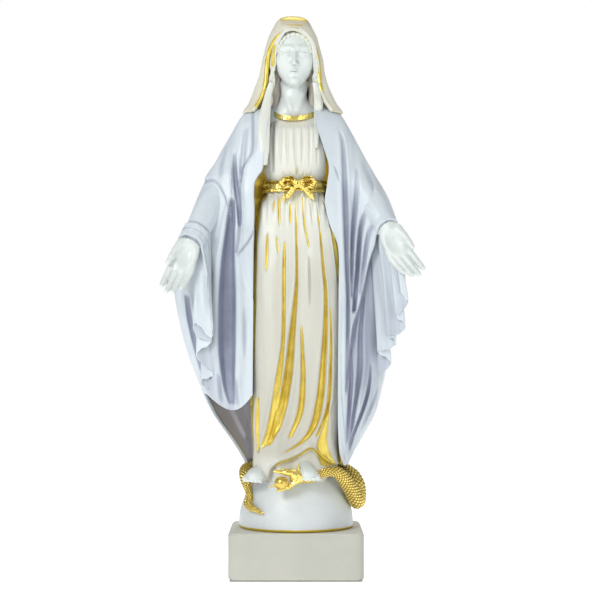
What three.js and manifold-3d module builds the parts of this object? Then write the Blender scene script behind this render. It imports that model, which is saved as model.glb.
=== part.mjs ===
// A devotional statue of the Virgin with open hands.
// She stands on a half globe and a serpent, on a plain block.
// Millimetres, +Z up. The figure faces -Y. The origin is the centre of the resting face, under the felt.
// "right" and "left" are the figure's own: its right hand is at -X and its left hand at +X.
import * as THREE from "three";
import { mergeVertices } from "three/addons/utils/BufferGeometryUtils.js";
import Module from "manifold-3d";

const wasm = await Module();
wasm.setup();

// ---------- driving dimensions ----------
const GAP = 0.35; // clearance between castings that bed into each other
const FELT = { width: 114, depth: 104, thick: 1.5 };
const PLINTH = { width: 118, depth: 108, top: 41, bevel: 1.5 };
const ROD = { radius: 4, bottom: 6, top: 150, x: 0, y: 2 };
const ROD_HOLE = { radius: 4.5, top: 60 };
const NUT = { acrossFlats: 13, thick: 6.5, bottom: 9 };
const WASHER = { radius: 12, thick: 2 };
const RECESS = { radius: 15, top: 17.5 };
const DOWEL = { radius: 1.5, half: 8 };
const AXIS_Y = 2; // the figure's core stands a little behind the block's centre
const MANTLE = { hem: 97, panelHem: 152, top: 424, thick: 4.5 }; // the front right panel ends high
const SLEEVE_HEM_Z = 166;
const SASH_Z = 344;
const NECK_BAND = { z: 413, dip: 7.5, half: 2 };
const HEAD = { x: -1.5, y: 1, z: 468 };
const VEIL = { x: -3, y: 1, bottom: 415, archTop: 487, top: 501, thick: 3.2 };

// ---------- small maths ----------
const { sin, cos, PI, abs, pow, sqrt, max, min } = Math;
const rad = (degrees) => (degrees * PI) / 180;
const clamp = (v, low, high) => min(max(v, low), high);
const mix = (a, b, t) => a + (b - a) * t;
const step = (low, high, v) => {
  const t = clamp((v - low) / (high - low), 0, 1);
  return t * t * (3 - 2 * t);
};
const vec = (x, y, z) => new THREE.Vector3(x, y, z);

// A smooth curve through [key, value] pairs, given in rising key.
function profile(...pairs) {
  const last = pairs.length - 1;
  const slope = (k) => {
    const [a, b] = [pairs[max(k - 1, 0)], pairs[min(k + 1, last)]];
    return (b[1] - a[1]) / (b[0] - a[0]);
  };
  return (key) => {
    const at = clamp(key, pairs[0][0], pairs[last][0]);
    let i = 0;
    while (i < last - 1 && at > pairs[i + 1][0]) i++;
    const [k0, v0] = pairs[i];
    const [k1, v1] = pairs[i + 1];
    const h = k1 - k0;
    const t = (at - k0) / h;
    const [m0, m1] = [slope(i) * h, slope(i + 1) * h];
    const [t2, t3] = [t * t, t * t * t];
    return (
      (2 * t3 - 3 * t2 + 1) * v0 +
      (t3 - 2 * t2 + t) * m0 +
      (3 * t2 - 2 * t3) * v1 +
      (t3 - t2) * m1
    );
  };
}

// ---------- outlines, by height ----------
const MANTLE_RIGHT = profile(
  [92, 44], [100, 47], [120, 59], [140, 73], [160, 83], [200, 98], [240, 108],
  [262, 109], [300, 101], [340, 87], [380, 66], [400, 55], [411, 48], [418, 39], [426, 33],
);
const MANTLE_LEFT = profile(
  [92, 45], [100, 48], [120, 59], [140, 70], [160, 77], [200, 88], [240, 98],
  [262, 101], [300, 94], [340, 78], [380, 58], [400, 47], [411, 40], [418, 32], [426, 27],
);
const MANTLE_FRONT = profile(
  [95, 43], [150, 43], [200, 41], [250, 38], [300, 35], [345, 32], [375, 30], [400, 25], [412, 19],
  [418, 13], [426, 8],
);
const MANTLE_BACK = profile(
  [95, 45], [150, 42], [250, 38], [320, 34], [360, 35], [390, 33], [411, 29], [418, 24], [426, 20],
);
const EDGE_RIGHT = profile(
  [140, 38], [290, 38], [320, 37], [345, 36], [352, 33], [358, 28], [375, 26], [418, 22],
);
const EDGE_LEFT = profile(
  [92, 44], [97, 42], [110, 38], [150, 36.5], [250, 38], [290, 38], [320, 34], [340, 29],
  [362, 29], [380, 22], [400, 18], [418, 16],
);
const GOWN_WIDTH = profile(
  [84, 39], [110, 38.5], [150, 41], [250, 41], [300, 38], [325, 34], [337, 30.5], [345, 29],
  [352, 30], [365, 33], [380, 32], [395, 28], [405, 23], [412, 19],
);
const GOWN_FRONT = profile(
  [84, 46], [92, 44], [100, 40], [150, 38], [200, 36], [250, 33], [300, 29], [330, 26],
  [345, 23], [357, 26], [375, 27], [395, 23], [405, 19], [412, 15],
);
const GOWN_BACK = profile([84, 38], [100, 34], [200, 31], [300, 27], [345, 22], [375, 24], [412, 14]);
const VEIL_WIDTH = profile(
  [414, 44.5], [420, 40.5], [432, 35], [446, 30.5], [461, 28], [468, 26.3], [475, 24.4],
  [482, 22.3], [489, 18.8], [495, 15.6], [498.5, 12], [501, 0.5],
);
const VEIL_BACK = profile(
  [414, 33], [420, 30.5], [432, 28], [455, 29], [475, 27.5], [488, 22], [496, 14], [501, 0.5],
);
const VEIL_FRONT = profile(
  [414, 23], [425, 18], [445, 15], [465, 17.5], [480, 20], [487, 19.5], [493, 16.5], [497, 12.5],
  [501, 0.5],
);
const VEIL_OPENING = profile(
  [414, 33], [420, 30], [428, 26.5], [438, 24.3], [449, 23.4], [458, 22.6], [466, 20.9], [474, 17],
  [480, 11.8], [484.5, 3], [487, 0],
);

// A ball standing on the block and flattened on top, where the feet and the hem rest.
const GLOBE_TOP = 93.8;
const GLOBE_OUTLINE = [
  [PLINTH.top, 49.5], [46, 51], [54, 50.3], [62, 48.3], [70, 45.3], [76, 42.8], [82, 40], [86, 37.2],
  [89.5, 32], [92, 24], [93.4, 13],
];

// ---------- solids ----------
// Turns the faces of an indexed geometry outwards.
function facingOut(geometry) {
  const index = geometry.index.array;
  const corner = (k) => new THREE.Vector3().fromBufferAttribute(geometry.attributes.position, index[k]);
  let volume = 0;
  for (let k = 0; k < index.length; k += 3)
    volume += corner(k).dot(corner(k + 1).cross(corner(k + 2)));
  if (volume < 0)
    for (let k = 0; k < index.length; k += 3)
      [index[k + 1], index[k + 2]] = [index[k + 2], index[k + 1]];
  return geometry;
}

// A closed geometry as a solid for joining and cutting, placed by a matrix that may mirror it.
function solidOf(geometry, matrix = new THREE.Matrix4()) {
  const bare = geometry.clone().applyMatrix4(matrix);
  bare.deleteAttribute("normal");
  bare.deleteAttribute("uv");
  const merged = facingOut(mergeVertices(bare, 1e-4));
  return new wasm.Manifold(
    new wasm.Mesh({
      numProp: 3,
      vertProperties: new Float32Array(merged.attributes.position.array),
      triVerts: new Uint32Array(merged.index.array),
    }),
  );
}

// Moves every vertex of a three.js primitive.
function warped(geometry, place) {
  const at = geometry.attributes.position;
  for (let i = 0; i < at.count; i++) {
    const p = place(at.getX(i), at.getY(i), at.getZ(i));
    at.setXYZ(i, p.x, p.y, p.z);
  }
  return geometry;
}

// A loft of closed rings. ring(t, angle) is the rim, with t from 0 at the bottom to 1 at the top.
// axis(t) is the middle of the ring.
function ringSolid(segments, levels, axis, ring) {
  const place = (x, y, z) => {
    const share = clamp(Math.hypot(x, z), 0, 1);
    const middle = axis(y + 0.5);
    return middle.lerp(ring(y + 0.5, Math.atan2(-z, x)), share);
  };
  return solidOf(warped(new THREE.CylinderGeometry(1, 1, 1, segments, levels), place));
}

// A shell: place(u, v, w) with u along it, v up it and w through its thickness, each from 0 to 1.
function sheetSolid(across, up, place) {
  const box = new THREE.BoxGeometry(1, 1, 1, across, up, 1);
  return solidOf(warped(box, (x, y, z) => place(x + 0.5, y + 0.5, z + 0.5)));
}

function ellipsoid(centre, radii, grow = 0, segments = 14, rows = 9, matrix) {
  const ball = new THREE.SphereGeometry(1, segments, rows);
  ball.rotateX(PI / 2);
  ball.scale(radii.x + grow, radii.y + grow, radii.z + grow);
  ball.translate(centre.x, centre.y, centre.z);
  return solidOf(ball, matrix);
}

function capsule(from, to, radius, segments = 6, matrix) {
  const along = to.clone().sub(from);
  const capRings = Math.round(segments / 6);
  const body = new THREE.CapsuleGeometry(radius, along.length(), capRings, segments, 1);
  body.applyQuaternion(new THREE.Quaternion().setFromUnitVectors(vec(0, 1, 0), along.normalize()));
  const middle = from.clone().add(to).multiplyScalar(0.5);
  return solidOf(body.translate(middle.x, middle.y, middle.z), matrix);
}

function rod(from, to, radius, segments = 20, matrix) {
  const along = to.clone().sub(from);
  const body = new THREE.CylinderGeometry(radius, radius, along.length(), segments);
  body.applyQuaternion(new THREE.Quaternion().setFromUnitVectors(vec(0, 1, 0), along.normalize()));
  const middle = from.clone().add(to).multiplyScalar(0.5);
  return solidOf(body.translate(middle.x, middle.y, middle.z), matrix);
}

// A tube along a curve, with its own radius at each share of the length.
function tube(curve, steps, sides, radiusAt) {
  const frames = curve.computeFrenetFrames(steps, false);
  const rim = (t, angle) => {
    const k = Math.round(t * steps);
    return curve
      .getPointAt(t)
      .addScaledVector(frames.normals[k], cos(angle) * radiusAt(t))
      .addScaledVector(frames.binormals[k], sin(angle) * radiusAt(t));
  };
  return ringSolid(sides, steps, (t) => curve.getPointAt(t), rim);
}

const curveThrough = (...points) =>
  new THREE.CatmullRomCurve3(points.map((p) => vec(...p)), false, "centripetal");

const joined = (...solids) => solids.reduce((a, b) => a.add(b));

// What is left of a solid once its neighbours are cut away, without loose crumbs.
function cut(solid, ...neighbours) {
  const rest = neighbours.reduce((a, b) => a.subtract(b), solid);
  return rest.decompose().reduce((a, b) => (a.volume() > b.volume() ? a : b));
}

// ---------- base ----------
function felt() {
  const sheet = new THREE.BoxGeometry(FELT.width, FELT.depth, FELT.thick);
  return solidOf(sheet.translate(0, 0, FELT.thick / 2));
}

function plinthBlock() {
  const [w, d, b] = [PLINTH.width / 2 - PLINTH.bevel, PLINTH.depth / 2 - PLINTH.bevel, PLINTH.bevel];
  const outline = new THREE.Shape([
    new THREE.Vector2(-w, -d),
    new THREE.Vector2(w, -d),
    new THREE.Vector2(w, d),
    new THREE.Vector2(-w, d),
  ]);
  const block = new THREE.ExtrudeGeometry(outline, {
    depth: PLINTH.top - FELT.thick - 2 * b,
    bevelSize: b,
    bevelThickness: b,
    bevelSegments: 3,
  });
  return solidOf(block.translate(0, 0, FELT.thick + b));
}

const rodSpan = (bottom, top, radius, segments) =>
  rod(vec(ROD.x, ROD.y, bottom), vec(ROD.x, ROD.y, top), radius, segments);

const tieRod = (grow = 0) => rodSpan(ROD.bottom, ROD.top + grow, ROD.radius + grow);

function globeDome(grow = 0) {
  const outline = [new THREE.Vector2(0, PLINTH.top)];
  for (const [z, radius] of GLOBE_OUTLINE)
    outline.push(new THREE.Vector2(radius + grow, z + (z > PLINTH.top ? grow : 0)));
  outline.push(new THREE.Vector2(0, GLOBE_TOP + grow));
  const dome = new THREE.LatheGeometry(outline, 32);
  dome.rotateX(PI / 2);
  return solidOf(warped(dome, (x, y, z) => vec(x, y + AXIS_Y, z)));
}

// ---------- serpent ----------
const SERPENT = curveThrough(
  [2, -48, 88.5], [8, -47, 88], [13, -46, 88.3], [21, -43.5, 91], [29.5, -40, 93.3], [36.5, -35, 91.5],
  [42.5, -28, 85], [48.5, -20, 75.5], [52.5, -13, 67.5], [54.5, -6, 65.2], [55.5, 1, 70], [54, 7, 79],
  [49, 14, 86], [38, 27, 90], [18, 40, 88], [-8, 43, 86], [-28, 33, 88], [-38, 20, 91], [-43.5, 6, 91],
  [-44.5, -6, 87], [-43.5, -14, 80], [-41.5, -20.5, 73.5], [-41, -24, 68.5], [-42, -26.5, 64.5],
  [-40, -30.5, 62], [-35, -37, 60], [-28.5, -42, 57],
);
const SERPENT_RADIUS = profile(
  [0, 4.6], [0.03, 3.9], [0.07, 3.4], [0.12, 4.8], [0.17, 6], [0.25, 6.9], [0.45, 7], [0.62, 6.2],
  [0.76, 6.4], [0.82, 5.9], [0.86, 4], [0.885, 3], [0.91, 3.3], [0.935, 3.7], [0.96, 2.6],
  [0.985, 1.6], [1, 0.8],
);
const APPLE = { x: -12.4, y: -51.5, z: 84.2, radius: 6 };

// The jaws are open round the apple.
function serpentBody(grow = 0) {
  const body = tube(SERPENT, 52, 7, (t) => SERPENT_RADIUS(t) + grow);
  const skull = ellipsoid(vec(1, -48, 88.6), vec(7, 4.8, 5.2), grow, 9, 6);
  const upperJaw = capsule(vec(-2, -49, 91.5), vec(-16, -51.5, 94.3), 2.4 + grow);
  const lowerJaw = capsule(vec(1, -48.5, 85.5), vec(-13.5, -51, 78), 1.9 + grow);
  return joined(body, skull, upperJaw, lowerJaw);
}

const apple = (grow = 0) =>
  ellipsoid(vec(APPLE.x, APPLE.y, APPLE.z), vec(APPLE.radius, 5.4, 5.9), grow, 10, 7);

// ---------- gown ----------
// A rounded box section: n = 2 is an ellipse, and more is squarer.
const roundedBox = (angle, width, front, back, n) => {
  const [c, s] = [cos(angle), sin(angle)];
  const [x, y] = [width * Math.sign(c) * pow(abs(c), 2 / n), (s < 0 ? front : back)];
  return vec(x, y * Math.sign(s) * pow(abs(s), 2 / n), 0);
};

const BODICE_SQUARENESS = 2.2;
const SKIRT_SQUARENESS = 4;
const SKIRT_PLEAT = 1.5;
const BODICE_PLEAT = 0.6;

// The pleats fade out at the waist and at the neckline.
function gownRim(z, angle, grow) {
  const skirt = 1 - step(322, 340, z);
  const squareness = mix(BODICE_SQUARENESS, SKIRT_SQUARENESS, skirt);
  const [wide, front, back] = [GOWN_WIDTH(z) + grow, GOWN_FRONT(z) + grow, GOWN_BACK(z) + grow];
  const rim = roundedBox(angle, wide, front, back, squareness);
  const bodice = step(350, 362, z) * (1 - step(395, 410, z));
  const pleat = SKIRT_PLEAT * skirt * cos(16 * angle + z / 60) + BODICE_PLEAT * bodice * cos(20 * angle);
  const length = Math.hypot(rim.x, rim.y);
  rim.multiplyScalar((length - pleat - 0.4) / length);
  return vec(rim.x, rim.y + AXIS_Y, z);
}

// The rings crowd together at the hem, the waist and the neckline.
const GOWN_LEVELS = [84, 93, 105, 130, 175, 230, 285, 315, 328, 338, 350, 358, 375, 395, 405, 412];

function gown(grow = 0) {
  const steps = GOWN_LEVELS.length - 1;
  const height = (t) => GOWN_LEVELS[Math.round(t * steps)];
  return ringSolid(48, steps, (t) => vec(0, AXIS_Y, height(t)), (t, a) => gownRim(height(t), a, grow));
}

// A flat band round the gown: out runs from the cloth outwards, and up along its height.
function bandRound(segments, rim) {
  const ring = new THREE.TorusGeometry(1, 0.5, 6, segments);
  const place = (x, y, z) => rim(Math.atan2(y, x), (Math.hypot(x, y) - 1) * 2, z * 2);
  return solidOf(warped(ring, place));
}

// It dips at the throat and rises over the shoulders.
const neckBand = (grow = 0) =>
  bandRound(48, (angle, out, up) => {
    const dip = NECK_BAND.dip * pow(max(0, -sin(angle)), 2);
    const z = NECK_BAND.z - dip + (NECK_BAND.half + grow) * up;
    return gownRim(z, angle, out < 0 ? 1 - grow : 2.6 + grow).setZ(z);
  });

// ---------- sash and bow ----------
const sash = (grow = 0) =>
  bandRound(48, (angle, out, up) => {
    const z = SASH_Z + (5 + grow) * up;
    return gownRim(z, angle, out < 0 ? 1.3 : 3.4 + grow);
  });

function bow(grow = 0) {
  const front = -25.5;
  const loop = (side) => {
    const ring = new THREE.TorusGeometry(1, 0.34, 6, 14);
    const place = (x, y, z) => {
      const wide = mix(0.45, 1, step(-1, 0.4, x * side));
      const swell = front - 1 + z * 5 + abs(x) * 1.2;
      return vec(2 + side * 9.5 + x * 8, swell, SASH_Z + 2 + y * 4.6 * wide);
    };
    return solidOf(warped(ring, place));
  };
  const tail = (side, dx, dz) =>
    capsule(vec(2 + side * 2, front, SASH_Z - 1), vec(2 + dx, front - 1.5, SASH_Z - dz), 1.8 + grow, 8);
  const knot = ellipsoid(vec(2, front - 1.5, SASH_Z + 1), vec(3.4, 3, 3.8), grow, 9, 6);
  return joined(knot, loop(-1), loop(1), tail(-1, -9, 12), tail(1, 14, 13));
}

// ---------- mantle ----------
// This share of half the section is the back. The rest turns round the outline to the front edge.
const BACK_SHARE = 0.56;
// How far the front edges lie back, against the corners of the skirt.
const EDGE_SET_BACK = 5;
// The long hollow between the front edge and the arm. Its place and width are shares of the front's turn.
const SIDE_VALLEY = { depth: 13, place: 0.55, width: 0.16 };

// A point of the mantle, inset from its outer face.
// s runs from -1, the right front edge, round the back to 1, the left one.
function mantlePoint(s, z, inset) {
  const right = s < 0;
  const wide = (right ? MANTLE_RIGHT(z) : MANTLE_LEFT(z)) - inset;
  const side = right ? -1 : 1;
  const t = abs(s);
  if (t < BACK_SHARE) {
    const angle = (t / BACK_SHARE) * (PI / 2);
    const fold = 1.4 * cos(9 * angle) * (1 - step(330, 400, z)) * (1 - step(1.2, PI / 2, angle));
    const deep = (MANTLE_BACK(z) - inset + fold) * pow(cos(angle), 0.9);
    return vec(side * wide * pow(sin(angle), 0.8), AXIS_Y + deep, z);
  }
  const edge = right ? EDGE_RIGHT(z) : EDGE_LEFT(z);
  const last = Math.acos(clamp(edge / (wide + inset), 0, 1));
  const turn = (t - BACK_SHARE) / (1 - BACK_SHARE);
  const angle = turn * last;
  const { depth, place, width } = SIDE_VALLEY;
  const valley = depth * Math.exp(-pow((turn - place) / width, 2)) * (1 - step(300, 372, z));
  const laidBack = EDGE_SET_BACK * step(0.72, 1, turn) * step(120, 200, z) * (1 - step(300, 340, z));
  const forward = (MANTLE_FRONT(z) - inset) * pow(sin(angle), 0.75) - valley - laidBack;
  return vec(side * (wide + inset * step(0.5, 1, turn)) * cos(angle), AXIS_Y - forward, z);
}

// The front right panel ends high and sags a little, and the rest of the hem comes down to the globe.
function mantleHem(s) {
  const panel = MANTLE.panelHem - 8 * sin(PI * step(-1, -0.62, s));
  return mix(MANTLE.hem, panel, 1 - step(-0.62, -0.52, s));
}

function mantleShell(grow = 0) {
  return sheetSolid(34, 12, (u, v, w) => {
    const s = mix(-1, 1, u);
    const z = mix(mantleHem(s), MANTLE.top, v);
    return mantlePoint(s, z, mix(-grow, MANTLE.thick + grow, w));
  });
}

// ---------- veil ----------
// Above the arch over the face the veil closes all the way round.
function veilShell(grow = 0) {
  const { bottom, archTop, top, thick } = VEIL;
  return sheetSolid(20, 11, (u, v, w) => {
    const z = mix(bottom - grow, top - 0.2, 1 - pow(1 - v, 1.6));
    const inset = mix(-grow, thick + grow, w);
    const wide = max(VEIL_WIDTH(z) - inset, 0.3);
    const closed = z > archTop;
    const last = closed ? PI : PI / 2 + Math.acos(clamp(VEIL_OPENING(z) / VEIL_WIDTH(z), 0, 1));
    const edge = last + (closed ? -0.002 : (2 * grow) / wide);
    const angle = mix(-edge, edge, u);
    const deep = (cos(angle) < 0 ? VEIL_FRONT(z) : VEIL_BACK(z)) - inset;
    const sunk = z > 480 ? inset * 0.9 : 0;
    return vec(VEIL.x + wide * sin(angle), VEIL.y + max(deep, 0.3) * cos(angle), z - sunk);
  });
}

// ---------- head, hair, hands and feet ----------
const NECK_WIDTH = profile([408, 19], [413, 18.5], [420, 15.5], [427, 13], [436, 12], [446, 12]);

function head(grow = 0) {
  const { x, y, z } = HEAD;
  const skull = ellipsoid(vec(x, y, z), vec(18, 21.5, 23), grow);
  const face = ellipsoid(vec(x, y - 7.5, z - 13), vec(15.4, 14, 21.5), grow);
  const nose = capsule(vec(x, y - 20.5, z - 4), vec(x, y - 24, z - 14), 1.9 + grow);
  const height = (t) => mix(412 + GAP - grow, 446, t);
  const middle = (t) => vec(mix(0, x, t), mix(AXIS_Y, y, t), height(t));
  const neck = ringSolid(16, 5, middle, (t, a) => {
    const wide = NECK_WIDTH(height(t)) + grow;
    return middle(t).add(vec(wide * cos(a), wide * mix(0.74, 1, step(0, 0.6, t)) * sin(a), 0));
  });
  return joined(skull, face, nose, neck);
}

function hairLock(side, grow = 0) {
  const x = HEAD.x;
  const lock = curveThrough(
    [x + side * 8, -17, 481], [x + side * 16, -13, 471], [x + side * 19, -9, 458],
    [x + side * 19.5, -8, 442], [x + side * 21, -11, 428], [x + side * 23, -17, 412],
    [x + side * 24, -24, 394],
  );
  return tube(lock, 12, 7, (t) => mix(2.6, 4.2, sin(PI * clamp(t, 0.05, 0.95))) + grow);
}

// A hand in its own frame: the wrist at the origin, fingers down, palm to -Y and the thumb to +X.
const FINGERS = [
  { root: [8.8, 0, -33], aside: 0, lengths: [10.5, 8.5] },
  { root: [3, -0.4, -35.5], aside: 0, lengths: [11, 9] },
  { root: [-2.8, -0.3, -35], aside: 1, lengths: [10.5, 8.5] },
  { root: [-8.6, 0.2, -31.5], aside: 3, lengths: [9.5, 7] },
];
// fan swings the fingers towards the thumb, in degrees.
const HAND_TURN = { right: [-0.3, 0.27, 0.1], left: [-0.3, -0.38, -0.1] };
const HAND_FAN = { right: 0, left: 11 };
const WRIST = { right: vec(-91, -33, 298), left: vec(79, -32, 310) };

function handSolid(side, grow = 0) {
  const matrix = handMatrix(side);
  const parts = [
    ellipsoid(vec(0, 0, -18.5), vec(12.2, 4.9, 18.5), grow, 10, 7, matrix),
    capsule(vec(0, 1.8, 6), vec(0, 0.8, -8), 7.4 + grow, 8, matrix),
    capsule(vec(7, -2, -8), vec(9.8, -4.2, -18), 3.3 + grow, 6, matrix),
    capsule(vec(9.8, -4.2, -18), vec(11.6, -6, -31), 2.6 + grow, 6, matrix),
  ];
  for (const { root, aside, lengths } of FINGERS) {
    const swing = rad(aside + HAND_FAN[side]);
    let from = vec(...root);
    lengths.forEach((length, k) => {
      const curl = rad(5 + 12 * k);
      const aim = vec(sin(swing), -sin(curl), -cos(curl)).normalize();
      const to = from.clone().addScaledVector(aim, length);
      parts.push(capsule(from, to, (k ? 2.6 : 3) + grow, 6, matrix));
      from = to;
    });
  }
  return joined(...parts);
}

// The thumb of the right hand points to -X, so its hand is the mirror image.
function handMatrix(side) {
  const turn = new THREE.Matrix4().makeRotationFromEuler(new THREE.Euler(...HAND_TURN[side]));
  turn.setPosition(WRIST[side]);
  return turn.scale(vec(side === "right" ? -1 : 1, 1, 1));
}

function wristDowel(side, grow = 0) {
  const [from, to] = [vec(0, 1, -DOWEL.half - grow), vec(0, 2, DOWEL.half + 6 + grow)];
  return rod(from, to, DOWEL.radius + grow, 14, handMatrix(side));
}

const FOOT = {
  right: { at: [-34, -32, 90], turn: -0.45 },
  left: { at: [10, -43, 92], turn: 0.25 },
};
const TOE_PITCH = 2.9;

function foot(side, grow = 0) {
  const { at: [x, y, z], turn } = FOOT[side];
  const toes = [];
  for (let k = 0; k < 5; k++) {
    const across = (k - 2) * TOE_PITCH * (side === "right" ? -1 : 1);
    const reach = 6.5 - 0.8 * abs(k - 1);
    const at = vec(x + across * cos(turn) + reach * sin(turn), y - reach, z - 2 - k * 0.25);
    toes.push(ellipsoid(at, vec(1.9, 3.4, 2.2), grow, 7, 5));
  }
  return joined(ellipsoid(vec(x, y + 3, z), vec(7.5, 10, 5), grow, 10, 7), ...toes);
}

// ---------- sleeves ----------
const ELBOW = { right: vec(-66, 6, 352), left: vec(60, 6, 356) };

const ARM = { elbowRadius: 14, wristRadius: 10.6, pastWrist: 1.05 };
const CUFF = { right: 1.4, left: 0 };

// The right arm ends in a cuff. The mantle covers the left one down to the hand.
function forearm(side, grow = 0) {
  const end = ELBOW[side].clone().lerp(WRIST[side], ARM.pastWrist);
  const arm = new THREE.LineCurve3(ELBOW[side], end);
  const radius = (t) => mix(ARM.elbowRadius, ARM.wristRadius, t) + CUFF[side] * step(0.8, 0.86, t);
  return tube(arm, 7, 14, (t) => radius(t) + grow);
}

// The hanging part is one sheet folded to and fro, with its cut edge rising towards the hand.
function cascade(side, grow = 0) {
  const s = side === "right" ? -1 : 1;
  const { inner, outer } = side === "right" ? { inner: 68, outer: 97 } : { inner: 62, outer: 92 };
  return sheetSolid(15, 4, (u, v, w) => {
    const z = mix(SLEEVE_HEM_Z + 78 * u, 312 - 6 * u, v);
    const sway = 4.5 * sin(5 * PI * u) * mix(1, 0.45, v);
    const taper = mix(0.94 - 0.1 * u, 1, v);
    const y = mix(-34 + 14 * u, -28 + 6 * u, v) + sway;
    return vec(s * mix(inner, outer, u) * taper, y + mix(-grow, 4 + grow, w), z);
  });
}

const sleeve = (side, grow = 0) => joined(forearm(side, grow), cascade(side, grow));

// ---------- hardware ----------
const NUT_TOP = NUT.bottom + NUT.thick;
const hexNut = () => rodSpan(NUT.bottom, NUT_TOP, NUT.acrossFlats / sqrt(3), 6);
const washer = () => rodSpan(NUT_TOP, NUT_TOP + WASHER.thick, WASHER.radius, 28);

// ---------- materials ----------
const finish = (color, roughness, metalness = 0) => ({ color, roughness, metalness });
const FINISHES = {
  mantle: finish("#c3cade", 0.4),
  gown: finish("#ece8da", 0.42),
  skin: finish("#edf1ee", 0.38),
  veil: finish("#ebe6e0", 0.42),
  gold: finish("#c9a02c", 0.3, 0.9),
  globe: finish("#e2e6ee", 0.4),
  block: finish("#c9c8bd", 0.6),
  steel: finish("#9a9da1", 0.35, 1),
  brass: finish("#b5974f", 0.35, 1),
  felt: finish("#4d5648", 0.95),
};

// ---------- assembly ----------
const statue = new THREE.Group();

function addNode(name, solid, look) {
  const { vertProperties, triVerts, numProp } = solid.getMesh();
  const geometry = new THREE.BufferGeometry();
  const at = new THREE.InterleavedBuffer(vertProperties, numProp);
  geometry.setAttribute("position", new THREE.InterleavedBufferAttribute(at, 3, 0));
  geometry.setIndex(new THREE.BufferAttribute(triVerts, 1));
  geometry.computeVertexNormals();
  const mesh = new THREE.Mesh(geometry, new THREE.MeshStandardMaterial(FINISHES[look]));
  mesh.name = name;
  statue.add(mesh);
}

const SIDES = ["right", "left"];
const grown = (make, ...args) => make(...args, GAP);
const bothGrown = (make) => SIDES.map((side) => make(side, GAP));
const hairGrown = [-1, 1].map((side) => hairLock(side, GAP));

const rodHole = rodSpan(0, ROD_HOLE.top, ROD_HOLE.radius);
const nutRecess = rodSpan(0, RECESS.top, RECESS.radius, 32);
const tieHole = tieRod(GAP);

addNode("base_felt", felt(), "felt");
addNode("plinth", cut(plinthBlock(), rodHole, nutRecess), "block");
addNode("tie_rod", tieRod(), "steel");
addNode("tie_nut", cut(hexNut(), rodHole), "steel");
addNode("tie_washer", cut(washer(), rodHole), "steel");
const baseGrown = [grown(serpentBody), grown(apple), tieHole, ...bothGrown(foot)];
addNode("globe", cut(globeDome(), ...baseGrown), "globe");
addNode("serpent", cut(serpentBody(), grown(apple), ...bothGrown(foot)), "gold");
addNode("apple", apple(), "gold");
addNode("gown", cut(gown(), grown(globeDome), ...baseGrown), "gown");
addNode("sash", sash(), "gold");
addNode("bow", cut(bow(), grown(gown), grown(sash)), "gold");
addNode("head", head(), "skin");
addNode("neck_band", neckBand(), "gold");
addNode("veil", cut(veilShell(), grown(head), ...hairGrown), "veil");
SIDES.forEach((side) => {
  const sign = side === "right" ? -1 : 1;
  const dowelHole = wristDowel(side, GAP);
  addNode(`hair_${side}`, cut(hairLock(sign), grown(head), grown(gown), grown(neckBand)), "veil");
  addNode(`hand_${side}`, cut(handSolid(side), dowelHole), "skin");
  addNode(`wrist_dowel_${side}`, wristDowel(side), "brass");
  addNode(`foot_${side}`, foot(side), "skin");
  addNode(`sleeve_${side}`, cut(sleeve(side), handSolid(side, GAP), dowelHole, grown(gown)), "mantle");
});
addNode(
  "mantle",
  cut(
    mantleShell(), grown(gown), grown(veilShell), grown(globeDome), grown(serpentBody), grown(head),
    grown(sash), grown(neckBand), ...hairGrown, ...bothGrown(sleeve), ...bothGrown(handSolid),
  ),
  "mantle",
);

export default statue;
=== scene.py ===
"""Looks of the Madonna statue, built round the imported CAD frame.

Lengths in the shape code are millimetres. "Right" and "left" are the figure's own.
"""
import math

import bpy
import numpy as np
from mathutils import Euler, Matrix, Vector


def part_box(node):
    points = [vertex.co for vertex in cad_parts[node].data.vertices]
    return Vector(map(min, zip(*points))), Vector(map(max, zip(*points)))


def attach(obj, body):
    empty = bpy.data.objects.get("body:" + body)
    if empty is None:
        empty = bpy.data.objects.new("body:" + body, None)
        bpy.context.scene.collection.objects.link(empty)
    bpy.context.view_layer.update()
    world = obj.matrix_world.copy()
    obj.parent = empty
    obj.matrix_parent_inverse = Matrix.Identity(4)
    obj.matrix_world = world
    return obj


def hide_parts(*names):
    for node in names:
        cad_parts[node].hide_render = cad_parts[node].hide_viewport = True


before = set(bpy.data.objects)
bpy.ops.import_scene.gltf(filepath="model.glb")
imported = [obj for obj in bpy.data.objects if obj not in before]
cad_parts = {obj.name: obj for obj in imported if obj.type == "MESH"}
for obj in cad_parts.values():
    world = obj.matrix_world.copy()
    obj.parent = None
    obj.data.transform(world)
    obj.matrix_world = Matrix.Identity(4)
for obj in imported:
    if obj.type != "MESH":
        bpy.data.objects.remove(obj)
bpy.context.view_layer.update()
MM = 0.001


def node_box(node):
    """The CAD node's lowest and highest corners, in millimetres."""
    low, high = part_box(node)
    return np.array(low) / MM, np.array(high) / MM


AXIS_Y = 2.0  # depth of the upright axis of the figure
PLINTH_LOW, PLINTH_HIGH = node_box("plinth")
SASH_LOW, SASH_HIGH = node_box("sash")
SASH_Z = (SASH_LOW[2] + SASH_HIGH[2]) / 2
HEAD = np.array([-1.5, 1.0, 466.0])  # middle of the skull


# ---------- maths ----------
def step(low, high, v):
    t = np.clip((v - low) / (high - low), 0.0, 1.0)
    return t * t * (3 - 2 * t)


def mix(a, b, t):
    return a + (b - a) * t


def bump(v, middle, width):
    return np.exp(-(((v - middle) / width) ** 2))


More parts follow.
